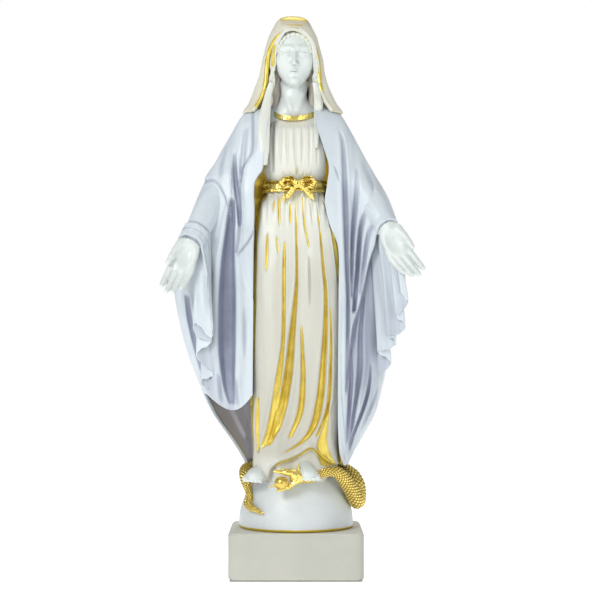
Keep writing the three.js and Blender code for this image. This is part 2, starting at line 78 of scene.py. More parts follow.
def curve(*pairs):
    """A smooth function through (key, value) pairs."""
    pairs = sorted(pairs)
    keys = np.array([p[0] for p in pairs], float)
    values = np.array([p[1] for p in pairs], float)
    slopes = np.empty_like(keys)
    slopes[1:-1] = (values[2:] - values[:-2]) / (keys[2:] - keys[:-2])
    slopes[0] = (values[1] - values[0]) / (keys[1] - keys[0])
    slopes[-1] = (values[-1] - values[-2]) / (keys[-1] - keys[-2])

    def at(x):
        x = np.clip(x, keys[0], keys[-1])
        i = np.clip(np.searchsorted(keys, x, side="right") - 1, 0, len(keys) - 2)
        h = keys[i + 1] - keys[i]
        t = (x - keys[i]) / h
        t2, t3 = t * t, t * t * t
        return (
            (2 * t3 - 3 * t2 + 1) * values[i]
            + (t3 - 2 * t2 + t) * h * slopes[i]
            + (3 * t2 - 2 * t3) * values[i + 1]
            + (t3 - t2) * h * slopes[i + 1]
        )

    return at


def noise2(u, v, seed, octaves=3):
    """Smooth value noise in [-1, 1] for irregular cloth and brushwork."""
    total, size = np.zeros(np.broadcast(u, v).shape), 1.0
    for k in range(octaves):
        rng = np.random.default_rng(seed + k)
        table = rng.uniform(-1, 1, (64, 64))
        iu, iv = np.floor(u).astype(int), np.floor(v).astype(int)
        fu, fv = u - iu, v - iv
        fu, fv = fu * fu * (3 - 2 * fu), fv * fv * (3 - 2 * fv)
        a = table[iu % 64, iv % 64]
        b = table[(iu + 1) % 64, iv % 64]
        c = table[iu % 64, (iv + 1) % 64]
        d = table[(iu + 1) % 64, (iv + 1) % 64]
        total += size * mix(mix(a, b, fu), mix(c, d, fu), fv)
        u, v, size = u * 2.03, v * 2.03, size / 2
    return total / 1.6


# ---------- folds ----------
class Fold:
    """A valley or ridge along a line: rows of (z, x, half width, depth). A positive depth is a valley.

    side sharpens one flank: below 1 the flank at -x is steeper, above 1 the one at +x.
    """

    def __init__(self, *rows, side=1.0, gold=0.0, flat=0.35, rim=0.2):
        z, x, w, d = zip(*rows)
        self.x = curve(*zip(z, x))
        self.w = curve(*zip(z, w))
        self.d = curve(*zip(z, d))
        self.low, self.high = min(z), max(z)
        self.side, self.gold, self.flat, self.rim = side, gold, flat, rim

    def apply(self, x, z, height, gold, shade):
        ends = step(self.low - 0.5, self.low + 5, z) * step(self.high + 0.5, self.high - 5, z)
        across = x - self.x(z)
        half = np.maximum(self.w(z), 0.3)
        half = np.where(across < 0, half * min(1, self.side), half / max(1, self.side))
        t = np.abs(across) / half
        valley = 1 - step(self.flat, 1.05, t)
        lip = self.rim * bump(t, 1.45, 0.5)
        depth = self.d(z) * ends
        height += depth * (lip - valley)
        shade += np.maximum(depth, 0) * valley
        if self.gold:
            reach = self.gold * (1 - step(0.6, 1.0, t)) * step(0.4, 1.2, depth)
            np.maximum(gold, reach, out=gold)


def folded(folds, x, z):
    """(height, gold, shade) of all the folds at front-view places (x, z)."""
    height, gold, shade = np.zeros_like(x), np.zeros_like(x), np.zeros_like(x)
    for fold in folds:
        fold.apply(x, z, height, gold, shade)
    return height, gold, shade


# ---------- meshes ----------
def make_mesh(name, points, quads, triangles=None, **attributes):
    points = np.asarray(points, float).reshape(-1, 3)
    corners = [np.asarray(quads).reshape(-1)]
    totals = [np.full(len(quads), 4)]
    if triangles is not None and len(triangles):
        corners.append(np.asarray(triangles).reshape(-1))
        totals.append(np.full(len(triangles), 3))
    corners, totals = np.concatenate(corners), np.concatenate(totals)
    mesh = bpy.data.meshes.new(name)
    mesh.vertices.add(len(points))
    mesh.vertices.foreach_set("co", (points * MM).ravel())
    mesh.loops.add(len(corners))
    mesh.loops.foreach_set("vertex_index", corners.astype(np.int32))
    mesh.polygons.add(len(totals))
    mesh.polygons.foreach_set("loop_start", (np.cumsum(totals) - totals).astype(np.int32))
    mesh.update(calc_edges=True)
    mesh.validate()
    mesh.polygons.foreach_set("use_smooth", np.ones(len(mesh.polygons), bool))
    for key, values in attributes.items():
        layer = mesh.attributes.new(key, "FLOAT", "POINT")
        layer.data.foreach_set("value", np.asarray(values, np.float32).ravel())
    obj = bpy.data.objects.new(name, mesh)
    bpy.context.scene.collection.objects.link(obj)
    return obj


def grid_quads(rows, columns, closed=False):
    index = np.arange(rows * columns).reshape(rows, columns)
    left = index if closed else index[:, :-1]
    right = np.roll(index, -1, axis=1) if closed else index[:, 1:]
    return np.stack([left[:-1], right[:-1], right[1:], left[1:]], axis=-1).reshape(-1, 4)


def grid_normals(points):
    normal = np.cross(np.gradient(points, axis=1), np.gradient(points, axis=0))
    return normal / np.maximum(np.linalg.norm(normal, axis=-1, keepdims=True), 1e-9)


def cap(points, columns, row_start, flip):
    """A fan over one ring of a closed grid: (centre point, triangles)."""
    ring = np.arange(row_start, row_start + columns)
    centre = points[ring].mean(axis=0)
    hub = np.full(columns, -1)
    order = [hub, np.roll(ring, -1), ring] if flip else [hub, ring, np.roll(ring, -1)]
    return centre, np.stack(order, axis=-1)


def closed_loft(name, points, **attributes):
    """A mesh from rings of points, capped at both ends."""
    rows, columns = points.shape[:2]
    flat = points.reshape(-1, 3)
    quads = grid_quads(rows, columns, closed=True)
    extra, triangles = [], []
    for row, flip in ((0, True), (rows - 1, False)):
        centre, fan = cap(flat, columns, row * columns, flip)
        fan[:, 0] = len(flat) + len(extra)
        extra.append(centre)
        triangles.append(fan)
    full = {k: np.append(v.ravel(), [v[0].mean(), v[-1].mean()]) for k, v in attributes.items()}
    return make_mesh(name, np.vstack([flat, *extra]), quads, np.vstack(triangles), **full)


def finish_piece(obj, material, slot, *nodes):
    obj.data.materials.append(material)
    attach(obj, "root")
    if nodes:
        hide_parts(*nodes)
    return obj


def thicken(obj, thickness, offset):
    """Gives a sheet a wall: offset 0 grows it both ways, and -1 inwards."""
    shell = obj.modifiers.new("thickness", "SOLIDIFY")
    shell.thickness, shell.offset = thickness * MM, offset
    return obj


def tube_points(path, radius, around):
    """(points, spokes) of rings round a path. radius is a number or one value a ring."""
    path = np.asarray(path, float)
    tangent = np.gradient(path, axis=0)
    tangent /= np.linalg.norm(tangent, axis=1, keepdims=True)
    side = np.zeros_like(path)
    start = np.cross(tangent[0], [0.0, 0.3, 1.0])
    side[0] = start / np.linalg.norm(start)
    for k in range(1, len(path)):
        carried = side[k - 1] - tangent[k] * np.dot(side[k - 1], tangent[k])
        side[k] = carried / np.linalg.norm(carried)
    other = np.cross(tangent, side)
    angle = np.linspace(0, 2 * math.pi, around, endpoint=False)
    radius = np.broadcast_to(np.asarray(radius, float), (len(path),))
    spoke = side[:, None] * np.cos(angle)[None, :, None] + other[:, None] * np.sin(angle)[None, :, None]
    return path[:, None] + spoke * radius[:, None, None], spoke


def spline(points, count):
    """A smooth path through points, with count evenly spaced places."""
    points = np.asarray(points, float)
    gaps = np.linalg.norm(np.diff(points, axis=0), axis=1) ** 0.5
    knots = np.concatenate([[0], np.cumsum(gaps)])
    axes = [curve(*zip(knots, points[:, k])) for k in range(3)]
    fine = np.linspace(0, knots[-1], count * 8)
    path = np.stack([f(fine) for f in axes], axis=1)
    run = np.concatenate([[0], np.cumsum(np.linalg.norm(np.diff(path, axis=0), axis=1))])
    even = np.linspace(0, run[-1], count)
    return np.stack([np.interp(even, run, path[:, k]) for k in range(3)], axis=1)


# ---------- solids from distance fields ----------
def smooth_min(a, b, k):
    h = np.maximum(k - np.abs(a - b), 0) / k
    return np.minimum(a, b) - h * h * k / 4


def smooth_cut(a, b, k):
    """a with b taken away."""
    h = np.maximum(k - np.abs(a + b), 0) / k
    return np.maximum(a, -b) + h * h * k / 4


def ball(p, centre, radii):
    q = [(p[k] - centre[k]) / radii[k] for k in range(3)]
    far = np.sqrt(q[0] ** 2 + q[1] ** 2 + q[2] ** 2)
    slope = np.sqrt(sum((q[k] / radii[k]) ** 2 for k in range(3)))
    return far * (far - 1) / np.maximum(slope, 1e-6)


def limb(p, start, end, r_start, r_end, flat=(1, 1, 1)):
    """A round-ended limb that tapers. flat above 1 thins it along that axis."""
    a, b = np.array(start, float), np.array(end, float)
    d = b - a
    t = sum((p[k] - a[k]) * d[k] for k in range(3)) / np.dot(d, d)
    t = np.clip(t, 0, 1)
    away = np.sqrt(sum(((p[k] - a[k] - d[k] * t) * flat[k]) ** 2 for k in range(3)))
    return away - (r_start + (r_end - r_start) * t)


CORNERS = [(i, j, k) for i in (0, 1) for j in (0, 1) for k in (0, 1)]


def field_mesh(field, low, high, size):
    """Surface nets: (points, quads) of the zero surface of a distance field."""
    axes = [np.arange(low[k], high[k] + size, size, dtype=np.float32) for k in range(3)]
    value = field(np.meshgrid(*axes, indexing="ij")).astype(np.float32)
    inside = value < 0
    shape = np.array(value.shape) - 1
    count = np.zeros(shape, np.int8)
    for i, j, k in CORNERS:
        count += inside[i : i + shape[0], j : j + shape[1], k : k + shape[2]]
    cells = np.argwhere((count > 0) & (count < 8))
    number = np.full(shape, -1, np.int64)
    number[tuple(cells.T)] = np.arange(len(cells))
    place, hits = np.zeros((len(cells), 3)), np.zeros(len(cells))
    for start in CORNERS:
        for axis in range(3):
            if start[axis]:
                continue
            end = list(start)
            end[axis] = 1
            a = value[tuple((cells + start).T)]
            b = value[tuple((cells + end).T)]
            crossed = (a < 0) != (b < 0)
            t = np.where(crossed, a / np.where(crossed, a - b, 1), 0)
            spot = np.tile(np.array(start, float), (len(cells), 1))
            spot[:, axis] += t
            place += spot * crossed[:, None]
            hits += crossed
    points = np.array(low) + (cells + place / hits[:, None]) * size
    quads = []
    for axis in range(3):
        b, c = (axis + 1) % 3, (axis + 2) % 3
        ahead = [slice(1, -1)] * 3
        ahead[axis] = slice(0, -1)
        here = inside[tuple(ahead)]
        ahead[axis] = slice(1, None)
        there = inside[tuple(ahead)]
        spots = np.argwhere(here != there)
        offset = np.ones(3, int)
        offset[axis] = 0
        spots = spots + offset
        leaving = inside[tuple(spots.T)]
        ring = []
        for db, dc in ((0, 0), (-1, 0), (-1, -1), (0, -1)):
            cell = spots.copy()
            cell[:, b] += db
            cell[:, c] += dc
            ring.append(number[tuple(cell.T)])
        ring = np.stack(ring, axis=1)
        ring[~leaving] = ring[~leaving][:, ::-1]
        quads.append(ring)
    return points, np.vstack(quads)


# ---------- materials ----------
def node_material(name):
    material = bpy.data.materials.new(name)
    material.use_nodes = True
    tree = material.node_tree
    shader = tree.nodes["Principled BSDF"]
    return material, tree, shader


class Graph:
    """Short calls for shader nodes."""

    def __init__(self, tree):
        self.tree, self.nodes, self.links = tree, tree.nodes, tree.links
        self.place = self.nodes.new("ShaderNodeTexCoord").outputs["Object"]

    def link(self, source, target):
        if isinstance(source, (int, float)):
            target.default_value = source
        elif isinstance(source, tuple):
            target.default_value = (*source, 1.0)
        else:
            self.links.new(source, target)

    def noise(self, scale, detail=3.0, stretch=(1, 1, 1), rough=0.55):
        mapping = self.nodes.new("ShaderNodeMapping")
        mapping.inputs["Scale"].default_value = stretch
        self.links.new(self.place, mapping.inputs["Vector"])
        node = self.nodes.new("ShaderNodeTexNoise")
        node.inputs["Scale"].default_value = scale
        node.inputs["Detail"].default_value = detail
        node.inputs["Roughness"].default_value = rough
        self.links.new(mapping.outputs["Vector"], node.inputs["Vector"])
        return node.outputs["Fac"]

    def attribute(self, name):
        node = self.nodes.new("ShaderNodeAttribute")
        node.attribute_name = name
        return node.outputs["Fac"]

    def math(self, kind, a, b=0.5, c=0.5):
        node = self.nodes.new("ShaderNodeMath")
        node.operation = kind
        for value, socket in zip((a, b, c), node.inputs):
            self.link(value, socket)
        return node.outputs[0]

    def spread(self, value, low, high, new_low=0.0, new_high=1.0):
        node = self.nodes.new("ShaderNodeMapRange")
        node.interpolation_type = "SMOOTHSTEP"
        for key, v in (("From Min", low), ("From Max", high), ("To Min", new_low), ("To Max", new_high)):
            node.inputs[key].default_value = v
        self.link(value, node.inputs["Value"])
        return node.outputs["Result"]

    def blend(self, share, a, b):
        node = self.nodes.new("ShaderNodeMix")
        node.data_type = "RGBA"
        self.link(share, node.inputs[0])
        self.link(a, node.inputs[6])
        self.link(b, node.inputs[7])
        return node.outputs[2]

    def bump(self, height, distance, strength=1.0, normal=None):
        node = self.nodes.new("ShaderNodeBump")
        node.inputs["Strength"].default_value = strength
        node.inputs["Distance"].default_value = distance
        self.link(height, node.inputs["Height"])
        if normal is not None:
            self.links.new(normal, node.inputs["Normal"])
        return node.outputs["Normal"]


GOLD_BRIGHT = (0.86, 0.71, 0.17)
GOLD_DEEP = (0.60, 0.44, 0.04)
# colour of gold lying in deep shade: painted shadow
GOLD_SHADOW = (0.27, 0.17, 0.015)


def painted(name, light, shadow, warm=None, rough=0.42):
    """Satin paint over cast stone, with painted shade in a tinted shadow colour in the folds and wherever the
    shade layer says, and gold where the gold layer says.
    """
    material, tree, shader = node_material(name)
    g = Graph(tree)
    cloud = g.noise(35, 4)
    grain = g.noise(900, 3)
    strokes = g.noise(160, 3, stretch=(1, 1, 0.12))
    # painted shade: the shade layer, made uneven by cloud noise, mixes the light colour towards the shadow
    # colour
    painted_shade = g.spread(g.math("ADD", g.attribute("shade"), g.math("MULTIPLY", cloud, 0.35)), 0.12, 1.25)
    paint = g.blend(painted_shade, light, shadow)
    paint = g.blend(g.spread(cloud, 0.35, 0.75, 0.0, 0.22), paint, warm or shadow)
    paint = g.blend(g.spread(grain, 0.35, 0.75, 0.0, 0.08), paint, tuple(0.8 * c for c in light))
    ragged = g.math("ADD", g.attribute("gold"), g.math("MULTIPLY_ADD", strokes, 0.55, -0.275))
    gilt = g.spread(ragged, 0.38, 0.62)
    gold = g.blend(g.spread(g.noise(90, 3), 0.25, 0.75, 0.2, 0.8), GOLD_BRIGHT, GOLD_DEEP)
    # painted shadow: the gold turns dark where the shade layer is deep
    gold = g.blend(g.spread(g.attribute("shade"), 1.6, 4.0, 0.0, 0.7), gold, GOLD_SHADOW)
    g.link(g.blend(gilt, paint, gold), shader.inputs["Base Color"])
    g.link(g.math("MULTIPLY", gilt, 0.6), shader.inputs["Metallic"])
    satin = g.spread(g.noise(60, 3), 0.3, 0.7, rough - 0.06, rough + 0.08)
    g.link(g.math("MULTIPLY_ADD", gilt, -0.08, satin), shader.inputs["Roughness"])
    relief = g.math("ADD", g.math("MULTIPLY", strokes, 0.6), g.math("MULTIPLY", grain, 0.4))
    g.link(g.bump(relief, 0.00025, 0.5), shader.inputs["Normal"])
    shader.inputs["Coat Weight"].default_value = 0.12
    shader.inputs["Coat Roughness"].default_value = 0.3
    return material


def gilded(name, bright=GOLD_BRIGHT, deep=GOLD_DEEP, rough=0.24, grain=1.0):
    """Gold leaf over bole: bright on the high parts, with painted shade in the umber deep colour where the
    shade layer marks hollows.
    """
    material, tree, shader = node_material(name)
    g = Graph(tree)
    leaf = g.noise(180, 4)
    fine = g.noise(1500, 2)
    ragged = g.math("ADD", g.attribute("shade"), g.math("MULTIPLY_ADD", leaf, 0.5, -0.25))
    # painted shade: where the shade layer marks hollows the leaf turns to the deep colour and grows less
    # metallic
    hollow = g.spread(ragged, 0.05, 0.95)
    tone = g.blend(g.spread(leaf, 0.3, 0.75), bright, tuple(0.8 * c for c in bright))
    g.link(g.blend(hollow, tone, deep), shader.inputs["Base Color"])
    g.link(g.spread(hollow, 0.2, 1.0, 0.82, 0.55), shader.inputs["Metallic"])
    g.link(g.spread(leaf, 0.25, 0.75, rough, rough + 0.16), shader.inputs["Roughness"])
    relief = g.math("ADD", g.math("MULTIPLY", leaf, 0.7), g.math("MULTIPLY", fine, 0.3))
    g.link(g.bump(relief, 0.0003 * grain, 0.45), shader.inputs["Normal"])
    return material


def plain_paint(name, light, shadow, rough, pit=0.0004, scale=420.0, foot=None, upper=None):
    """A cast stone surface with faint clouds, fine grain and pinholes.

    foot is (z, colour) of a painted line, and upper the lighter colour painted as light on a face marked by
    the shade layer.
    """
    material, tree, shader = node_material(name)
    g = Graph(tree)
    cloud = g.noise(22, 5)
    grain = g.noise(scale, 4)
    tone = g.blend(g.spread(cloud, 0.3, 0.75), light, shadow)
    tone = g.blend(g.spread(grain, 0.5, 0.8, 0.0, 0.14), tone, tuple(0.8 * c for c in light))
    # painted light: the face that the shade layer marks takes the lighter upper colour
    if upper:
        tone = g.blend(g.attribute("shade"), tone, upper)
    if foot:
        split = g.nodes.new("ShaderNodeSeparateXYZ")
        g.links.new(g.place, split.inputs[0])
        height = g.math("MULTIPLY_ADD", g.noise(90, 3), -0.0016, split.outputs["Z"])
        line = g.spread(height, foot[0] * MM, (foot[0] + 0.9) * MM, 1.0, 0.0)
        tone = g.blend(line, tone, foot[1])
        g.link(g.math("MULTIPLY", line, 0.7), shader.inputs["Metallic"])
    g.link(tone, shader.inputs["Base Color"])
    g.link(g.spread(grain, 0.3, 0.7, rough - 0.05, rough + 0.1), shader.inputs["Roughness"])
    g.link(g.bump(g.math("ADD", grain, g.math("MULTIPLY", cloud, 0.6)), pit, 0.4), shader.inputs["Normal"])
    return material


def metal(name, color, rough, stretch=(1, 1, 30)):
    material, tree, shader = node_material(name)
    g = Graph(tree)
    lines = g.noise(300, 3, stretch=stretch)
    tone = g.blend(g.spread(lines, 0.3, 0.7), color, tuple(0.75 * c for c in color))
    g.link(tone, shader.inputs["Base Color"])
    g.link(g.spread(lines, 0.3, 0.7, rough, rough + 0.15), shader.inputs["Roughness"])
    shader.inputs["Metallic"].default_value = 1.0
    g.link(g.bump(lines, 0.0001, 0.4), shader.inputs["Normal"])
    return material


def felted(name, color):
    material, tree, shader = node_material(name)
    g = Graph(tree)
    hair = g.noise(2600, 4, rough=0.7)
    tone = g.blend(g.spread(hair, 0.3, 0.7), color, tuple(0.5 * c for c in color))
    g.link(tone, shader.inputs["Base Color"])
    shader.inputs["Roughness"].default_value = 0.95
    shader.inputs["Sheen Weight"].default_value = 0.3
    g.link(g.bump(hair, 0.0006, 0.8), shader.inputs["Normal"])
    return material


GOWN_PAINT = painted("gown_paint", (0.685, 0.695, 0.63), (0.42, 0.41, 0.34), (0.68, 0.68, 0.58))
MANTLE_PAINT = painted("mantle_paint", (0.60, 0.67, 0.705), (0.22, 0.24, 0.33), (0.57, 0.62, 0.69))
LINING_PAINT = painted("lining_paint", (0.70, 0.70, 0.82), (0.50, 0.48, 0.60), (0.66, 0.66, 0.76))
VEIL_PAINT = painted("veil_paint", (0.63, 0.62, 0.51), (0.46, 0.40, 0.30), (0.66, 0.62, 0.44))
HAIR_PAINT = painted("hair_paint", (0.65, 0.68, 0.62), (0.40, 0.35, 0.29), (0.68, 0.68, 0.58))
SKIN_PAINT = painted("skin_paint", (0.63, 0.68, 0.66), (0.36, 0.40, 0.39), (0.64, 0.69, 0.66), rough=0.38)
GILDING = gilded("gilding", (0.97, 0.78, 0.22), (0.30, 0.18, 0.012), 0.17, grain=0.5)
GLOBE_PAINT = plain_paint("globe_paint", (0.61, 0.655, 0.655), (0.56, 0.60, 0.62), 0.38, pit=0.00015,
                          scale=700.0, foot=(42.3, GOLD_DEEP))
# upper is the top face's lighter colour: painted light
BLOCK_STONE = plain_paint("block_stone", (0.485, 0.487, 0.435), (0.44, 0.445, 0.395), 0.6, pit=0.0003,
                          upper=(0.68, 0.685, 0.62))
STEEL = metal("steel", (0.55, 0.56, 0.57), 0.3)
BRASS = metal("brass_pin", (0.60, 0.46, 0.20), 0.3)
FELT = felted("felt", (0.42, 0.42, 0.37))


# ---------- gown ----------
GOWN_WIDTH = curve(
    (84, 39), (110, 38.5), (150, 41), (250, 41), (300, 38), (325, 34), (337, 30.5), (345, 29),
    (352, 30), (365, 33), (380, 32), (395, 28), (405, 23), (412, 19),
)
GOWN_FRONT = curve(
    (84, 46), (92, 44), (100, 40), (150, 38), (200, 36), (250, 33), (300, 29), (330, 26),
    (345, 23), (352, 25), (358, 26.5), (375, 27), (395, 23), (405, 19), (412, 15),
)
GOWN_BACK = curve((84, 38), (100, 34), (200, 31), (300, 27), (345, 22), (375, 24), (412, 14))
GOWN_HEM = curve(
    (-43, 84), (-34, 83), (-27, 88), (-21, 96), (-15, 100.5), (-5, 104), (4, 108.5), (10, 112.5), (14, 113.5),
    (20, 108), (27, 102), (36, 98), (43, 99),
)
SKIRT_FOLDS = [
    Fold((297, -9.5, 1.2, 0.8), (280, -10.5, 1.9, 2), (207, -11.5, 2.2, 2.6), (170, -16, 3.8, 3.5),
         (129, -23, 4.4, 3.5), (112, -30.5, 2.4, 2), side=0.7, gold=1),
    Fold((337, -0.4, 0.8, 0.8), (300, 0.4, 1.2, 1.8), (260, 0.9, 1.7, 3), (216, -2.6, 3.4, 4.5),
         (172, -7, 5.2, 6), (134, -15.7, 5.6, 5.5), (114, -25, 3, 2.5), side=1.4, gold=1),
    Fold((222, 4.5, 1, 1), (200, 5.5, 1.8, 2.6), (172, 6.1, 2.6, 3.2), (144, 3.5, 3, 3),
         (120, -6.5, 2, 1.5), gold=1),
    Fold((335, 17.3, 0.7, 0.6), (305, 21, 1, 1.2), (277, 23.6, 1.6, 2.4), (242, 26.5, 2.1, 3.6),
         (190, 24.4, 3.4, 4.6), (144, 19.2, 4.4, 4.6), (122, 9, 3.4, 3), (107, -13, 1.6, 1.2),
         side=1.3, gold=1),
    Fold((238, 30, 0.9, 1), (210, 31, 1.4, 2.2), (190, 30.6, 1.8, 2.8), (150, 28, 2, 2.8),
         (122, 17.5, 1.4, 2), gold=1),
    Fold((156, 28.5, 0.8, 0.8), (144, 27.5, 1.8, 1.6), (132, 26, 2.8, 2.2), (121, 23.5, 4.6, 2.8),
         (112, 23.5, 6.4, 3), (103, 27, 7.6, 2.8), (96, 30, 7.6, 2), gold=1, flat=0.5),
    Fold((333, 23, 0.8, 1), (319, 28, 1, 1.6), (286, 35, 1.3, 2), (258, 37.5, 1.2, 1.6), gold=1),
    Fold((336, -14.8, 1, 1.2), (322, -15, 1.3, 1.6), (306, -14.4, 0.9, 0.8), gold=1),
    Fold((331, -4.8, 0.9, 0.8), (320, -5, 1.3, 1.5), (308, -5, 0.9, 0.8), gold=1),
    Fold((337, 6.1, 0.9, 1), (312, 7.2, 1.1, 1.5), (287, 12, 0.8, 1), gold=1),
    Fold((304, -25.2, 0.9, 1), (285, -25.6, 1.4, 1.8), (266, -26, 0.7, 0.8), gold=1),
    Fold((301, -17.2, 0.8, 1), (290, -16.2, 1.1, 1.2), (281, -15, 0.6, 0.6), gold=0.9),
    Fold((334, -19, 0.9, 1.2), (327, -19.6, 1.1, 1.2), (318, -20.5, 0.7, 0.6), gold=1),
    Fold((337, -22, 0.9, 1), (329, -26, 1, 1), gold=0.9),
    Fold((334, 11.5, 0.9, 0.8), (322, 13.2, 1, 0.9), (306, 15, 0.8, 0.5), gold=0.2),
    Fold((283, 11.3, 0.9, 0.8), (260, 12, 1.4, 1.2), (236, 12, 0.9, 0.6), gold=0.15),
    Fold((160, -33, 1.5, 1), (135, -33.5, 2, 2.2), (108, -33, 1.6, 1.6), gold=0.9),
]
BODICE_FOLDS = [
    Fold((406, -20, 1.2, 0.6), (385, -21, 1.9, 1.3), (356, -20.5, 1.4, 1)),
    Fold((406, -13.5, 1.2, 0.5), (385, -14, 1.8, 1), (362, -14.5, 1.2, 0.6)),
    Fold((405, -8, 1.1, 0.5), (385, -8, 1.7, 1.1), (360, -7, 1.2, 0.7)),
    Fold((405, -1, 1.2, 0.5), (385, -1, 1.9, 1.2), (366, 0, 1.6, 1), (352, 1, 1.2, 1.2)),
    Fold((405, 5.5, 1.2, 0.5), (385, 6, 1.8, 1.1), (362, 5.5, 1.2, 0.7)),
    Fold((405, 12, 1.1, 0.4), (385, 12.5, 1.5, 0.8), (360, 12, 1.2, 0.5)),
    Fold((405, 17, 1.1, 0.4), (385, 18.5, 1.5, 0.7), (362, 19, 1.2, 0.5)),
    Fold((364, 1.2, 0.8, 0.6), (352, 1.4, 1.0, 1.4), gold=0.8),
    Fold((360, -6, 0.7, 0.5), (351, -4, 0.8, 1.0), gold=0.5),
    Fold((360, 8, 0.7, 0.5), (351, 6, 0.8, 1.0), gold=0.5),
    Fold((360, -13, 1, 0.4), (351, -10, 1.2, 1)),
    Fold((360, 15, 1, 0.4), (351, 12, 1.2, 1)),
]
# The gilt lines where the mantle's edges lie on the gown.
GOWN_SEAM_RIGHT = curve((96, -37), (165, -36.5), (240, -34.6), (291, -34.4), (310, -33), (340, -31.5),
                        (366, -27))
GOWN_SEAM_LEFT = curve((243, 37.2), (265, 36.8), (287, 35.6), (318, 30.6), (336, 25.4), (366, 27), (412, 16))


def box_section(across, width, reach, n):
    """Depth of a rounded box section at a place across it, where across runs from -1 to 1."""
    return reach * np.maximum(1 - np.abs(across) ** n, 0) ** (1 / n)


def make_gown():
    z = np.concatenate([np.arange(84, 100, 1.1), np.arange(100, 412.6, 1.0)])
    front = np.sin(np.linspace(-1, 1, 171) * math.pi / 2)
    back = np.sin(np.linspace(1, -1, 42) * math.pi / 2)[1:-1]
    skirt = 1 - step(322, 340, z)
    n = mix(2.2, 4, skirt)[:, None]
    width = (GOWN_WIDTH(z) - 0.4)[:, None]
    X, Z = np.broadcast_arrays(front[None, :], z[:, None])
    x = width * X
    y = -box_section(X, width, (GOWN_FRONT(z) - 0.4)[:, None], n)
    side_x = np.sign(X) * np.abs(X) ** (n - 1) / width
    side_y = -(1 - np.abs(X) ** n) ** ((n - 1) / n) / GOWN_FRONT(z)[:, None]
    length = np.maximum(np.hypot(side_x, side_y), 1e-9)
    skirt_h, skirt_gold, skirt_shade = folded(SKIRT_FOLDS, x, Z)
    body_h, body_gold, body_shade = folded(BODICE_FOLDS, x, Z)
    height = skirt_h + body_h
    gold, shade = np.maximum(skirt_gold, body_gold), np.minimum(0.5 * skirt_shade, 1.3) + 0.35 * body_shade
    lower = skirt[:, None]
    height += 4.5 * bump(x, -21, 12) * bump(Z, 208, 62) * lower
    height += 2.5 * bump(x, 15, 9) * bump(Z, 225, 90) * lower
    height += 0.7 * lower * noise2(x / 8 + 9, Z / 70, 4) + 0.35 * noise2(x / 11, Z / 16, 8)
    pleats = bump(Z, 332, 16) * (Z < 341)
    height += 0.8 * pleats * np.cos(x * 1.05 + 0.3 * np.sin(Z / 9))
    hem = GOWN_HEM(x)
    under = step(hem + 0.5, hem - 0.9, Z)
    lip = bump(Z, hem + 1.6, 1.5)
    height += 1.1 * lip - under * (3.2 + 1.2 * np.cos(x / 3.1 + 1))
    gold = np.maximum(gold, 0.9 * bump(Z, hem - 0.6, 1.5) * step(-24, -14, x) * step(34, 28, x))
    shade += 1.2 * bump(Z, hem - 1.5, 2)
    left_line = step(GOWN_SEAM_RIGHT(Z) + 0.6, GOWN_SEAM_RIGHT(Z) - 0.4, x) * step(96, 112, Z)
    right_line = step(GOWN_SEAM_LEFT(Z) - 1.3, GOWN_SEAM_LEFT(Z) - 0.5, x) * step(225, 260, Z) * (Z < 412)
    gold = np.maximum(gold, np.maximum(left_line * (Z < 366), right_line))
    # painted shade over the skirt, deeper towards the hem, and on the gown's turned sides
    painted_shade = 0.42 * step(330, 250, Z) * step(98, 112, Z) + 0.12 + 0.22 * step(220, 110, Z)
    shade += 0.8 * step(0.93, 0.98, np.abs(X)) + painted_shade * lower
    recess = step(0.84, 0.93, np.abs(X)) * bump(Z, SASH_Z, 13)
    gold, shade = np.maximum(gold, recess), shade + 2 * recess
    shade += 0.5 * bump(Z, SASH_Z + 7, 3) + 0.4 * bump(Z, SASH_Z - 8, 4)
    x = x + height * side_x / length
    y = y + height * side_y / length
    bx = width * back[None, :]
    by = box_section(back[None, :], width, GOWN_BACK(z)[:, None], n)
    fill = np.zeros((len(z), len(back)))
    tuck = mix(0.84, 1, step(83, 97, z))[:, None]
    x, y = tuck * np.hstack([x, bx]), tuck * np.hstack([y, by])
    dip = 8.5 * step(392, 412, z)[:, None] * np.maximum(0, -y / GOWN_FRONT(z)[:, None]) ** 2
    points = np.stack([x, y + AXIS_Y, z[:, None] - dip], axis=-1)
    obj = closed_loft("gown_cloth", points, gold=np.hstack([gold, fill]), shade=np.hstack([shade, fill]))
    finish_piece(obj, GOWN_PAINT, "gown_paint", "gown")


def gown_rim(z, angle, grow):
    """The gown's plain outline at a height, grown outwards."""
    n = mix(2.2, 4, 1 - step(322, 340, z))
    c, s = np.cos(angle), np.sin(angle)
    width, reach = GOWN_WIDTH(z) + grow, np.where(s < 0, GOWN_FRONT(z), GOWN_BACK(z)) + grow
    x = width * np.sign(c) * np.abs(c) ** (2 / n)
    y = reach * np.sign(s) * np.abs(s) ** (2 / n)
    return x, y + AXIS_Y


def torus_quads(rows, columns):
    index = np.arange(rows * columns).reshape(rows, columns)
    right, up = np.roll(index, -1, axis=1), np.roll(index, -1, axis=0)
    return np.stack([index, right, np.roll(right, -1, axis=0), up], axis=-1).reshape(-1, 4)


def band_loop(rows, columns):
    """(out, up, angle) grids of a flat band's closed section, out and up from -1 to 1."""
    section = np.linspace(0, 2 * math.pi, rows, endpoint=False)
    c, s = np.cos(section), np.sin(section)
    out = np.sign(c) * np.abs(c) ** 0.6
    up = np.sign(s) * np.abs(s) ** 0.6
    angle = np.linspace(0, 2 * math.pi, columns, endpoint=False)
    return np.broadcast_arrays(out[:, None], up[:, None], angle[None, :])


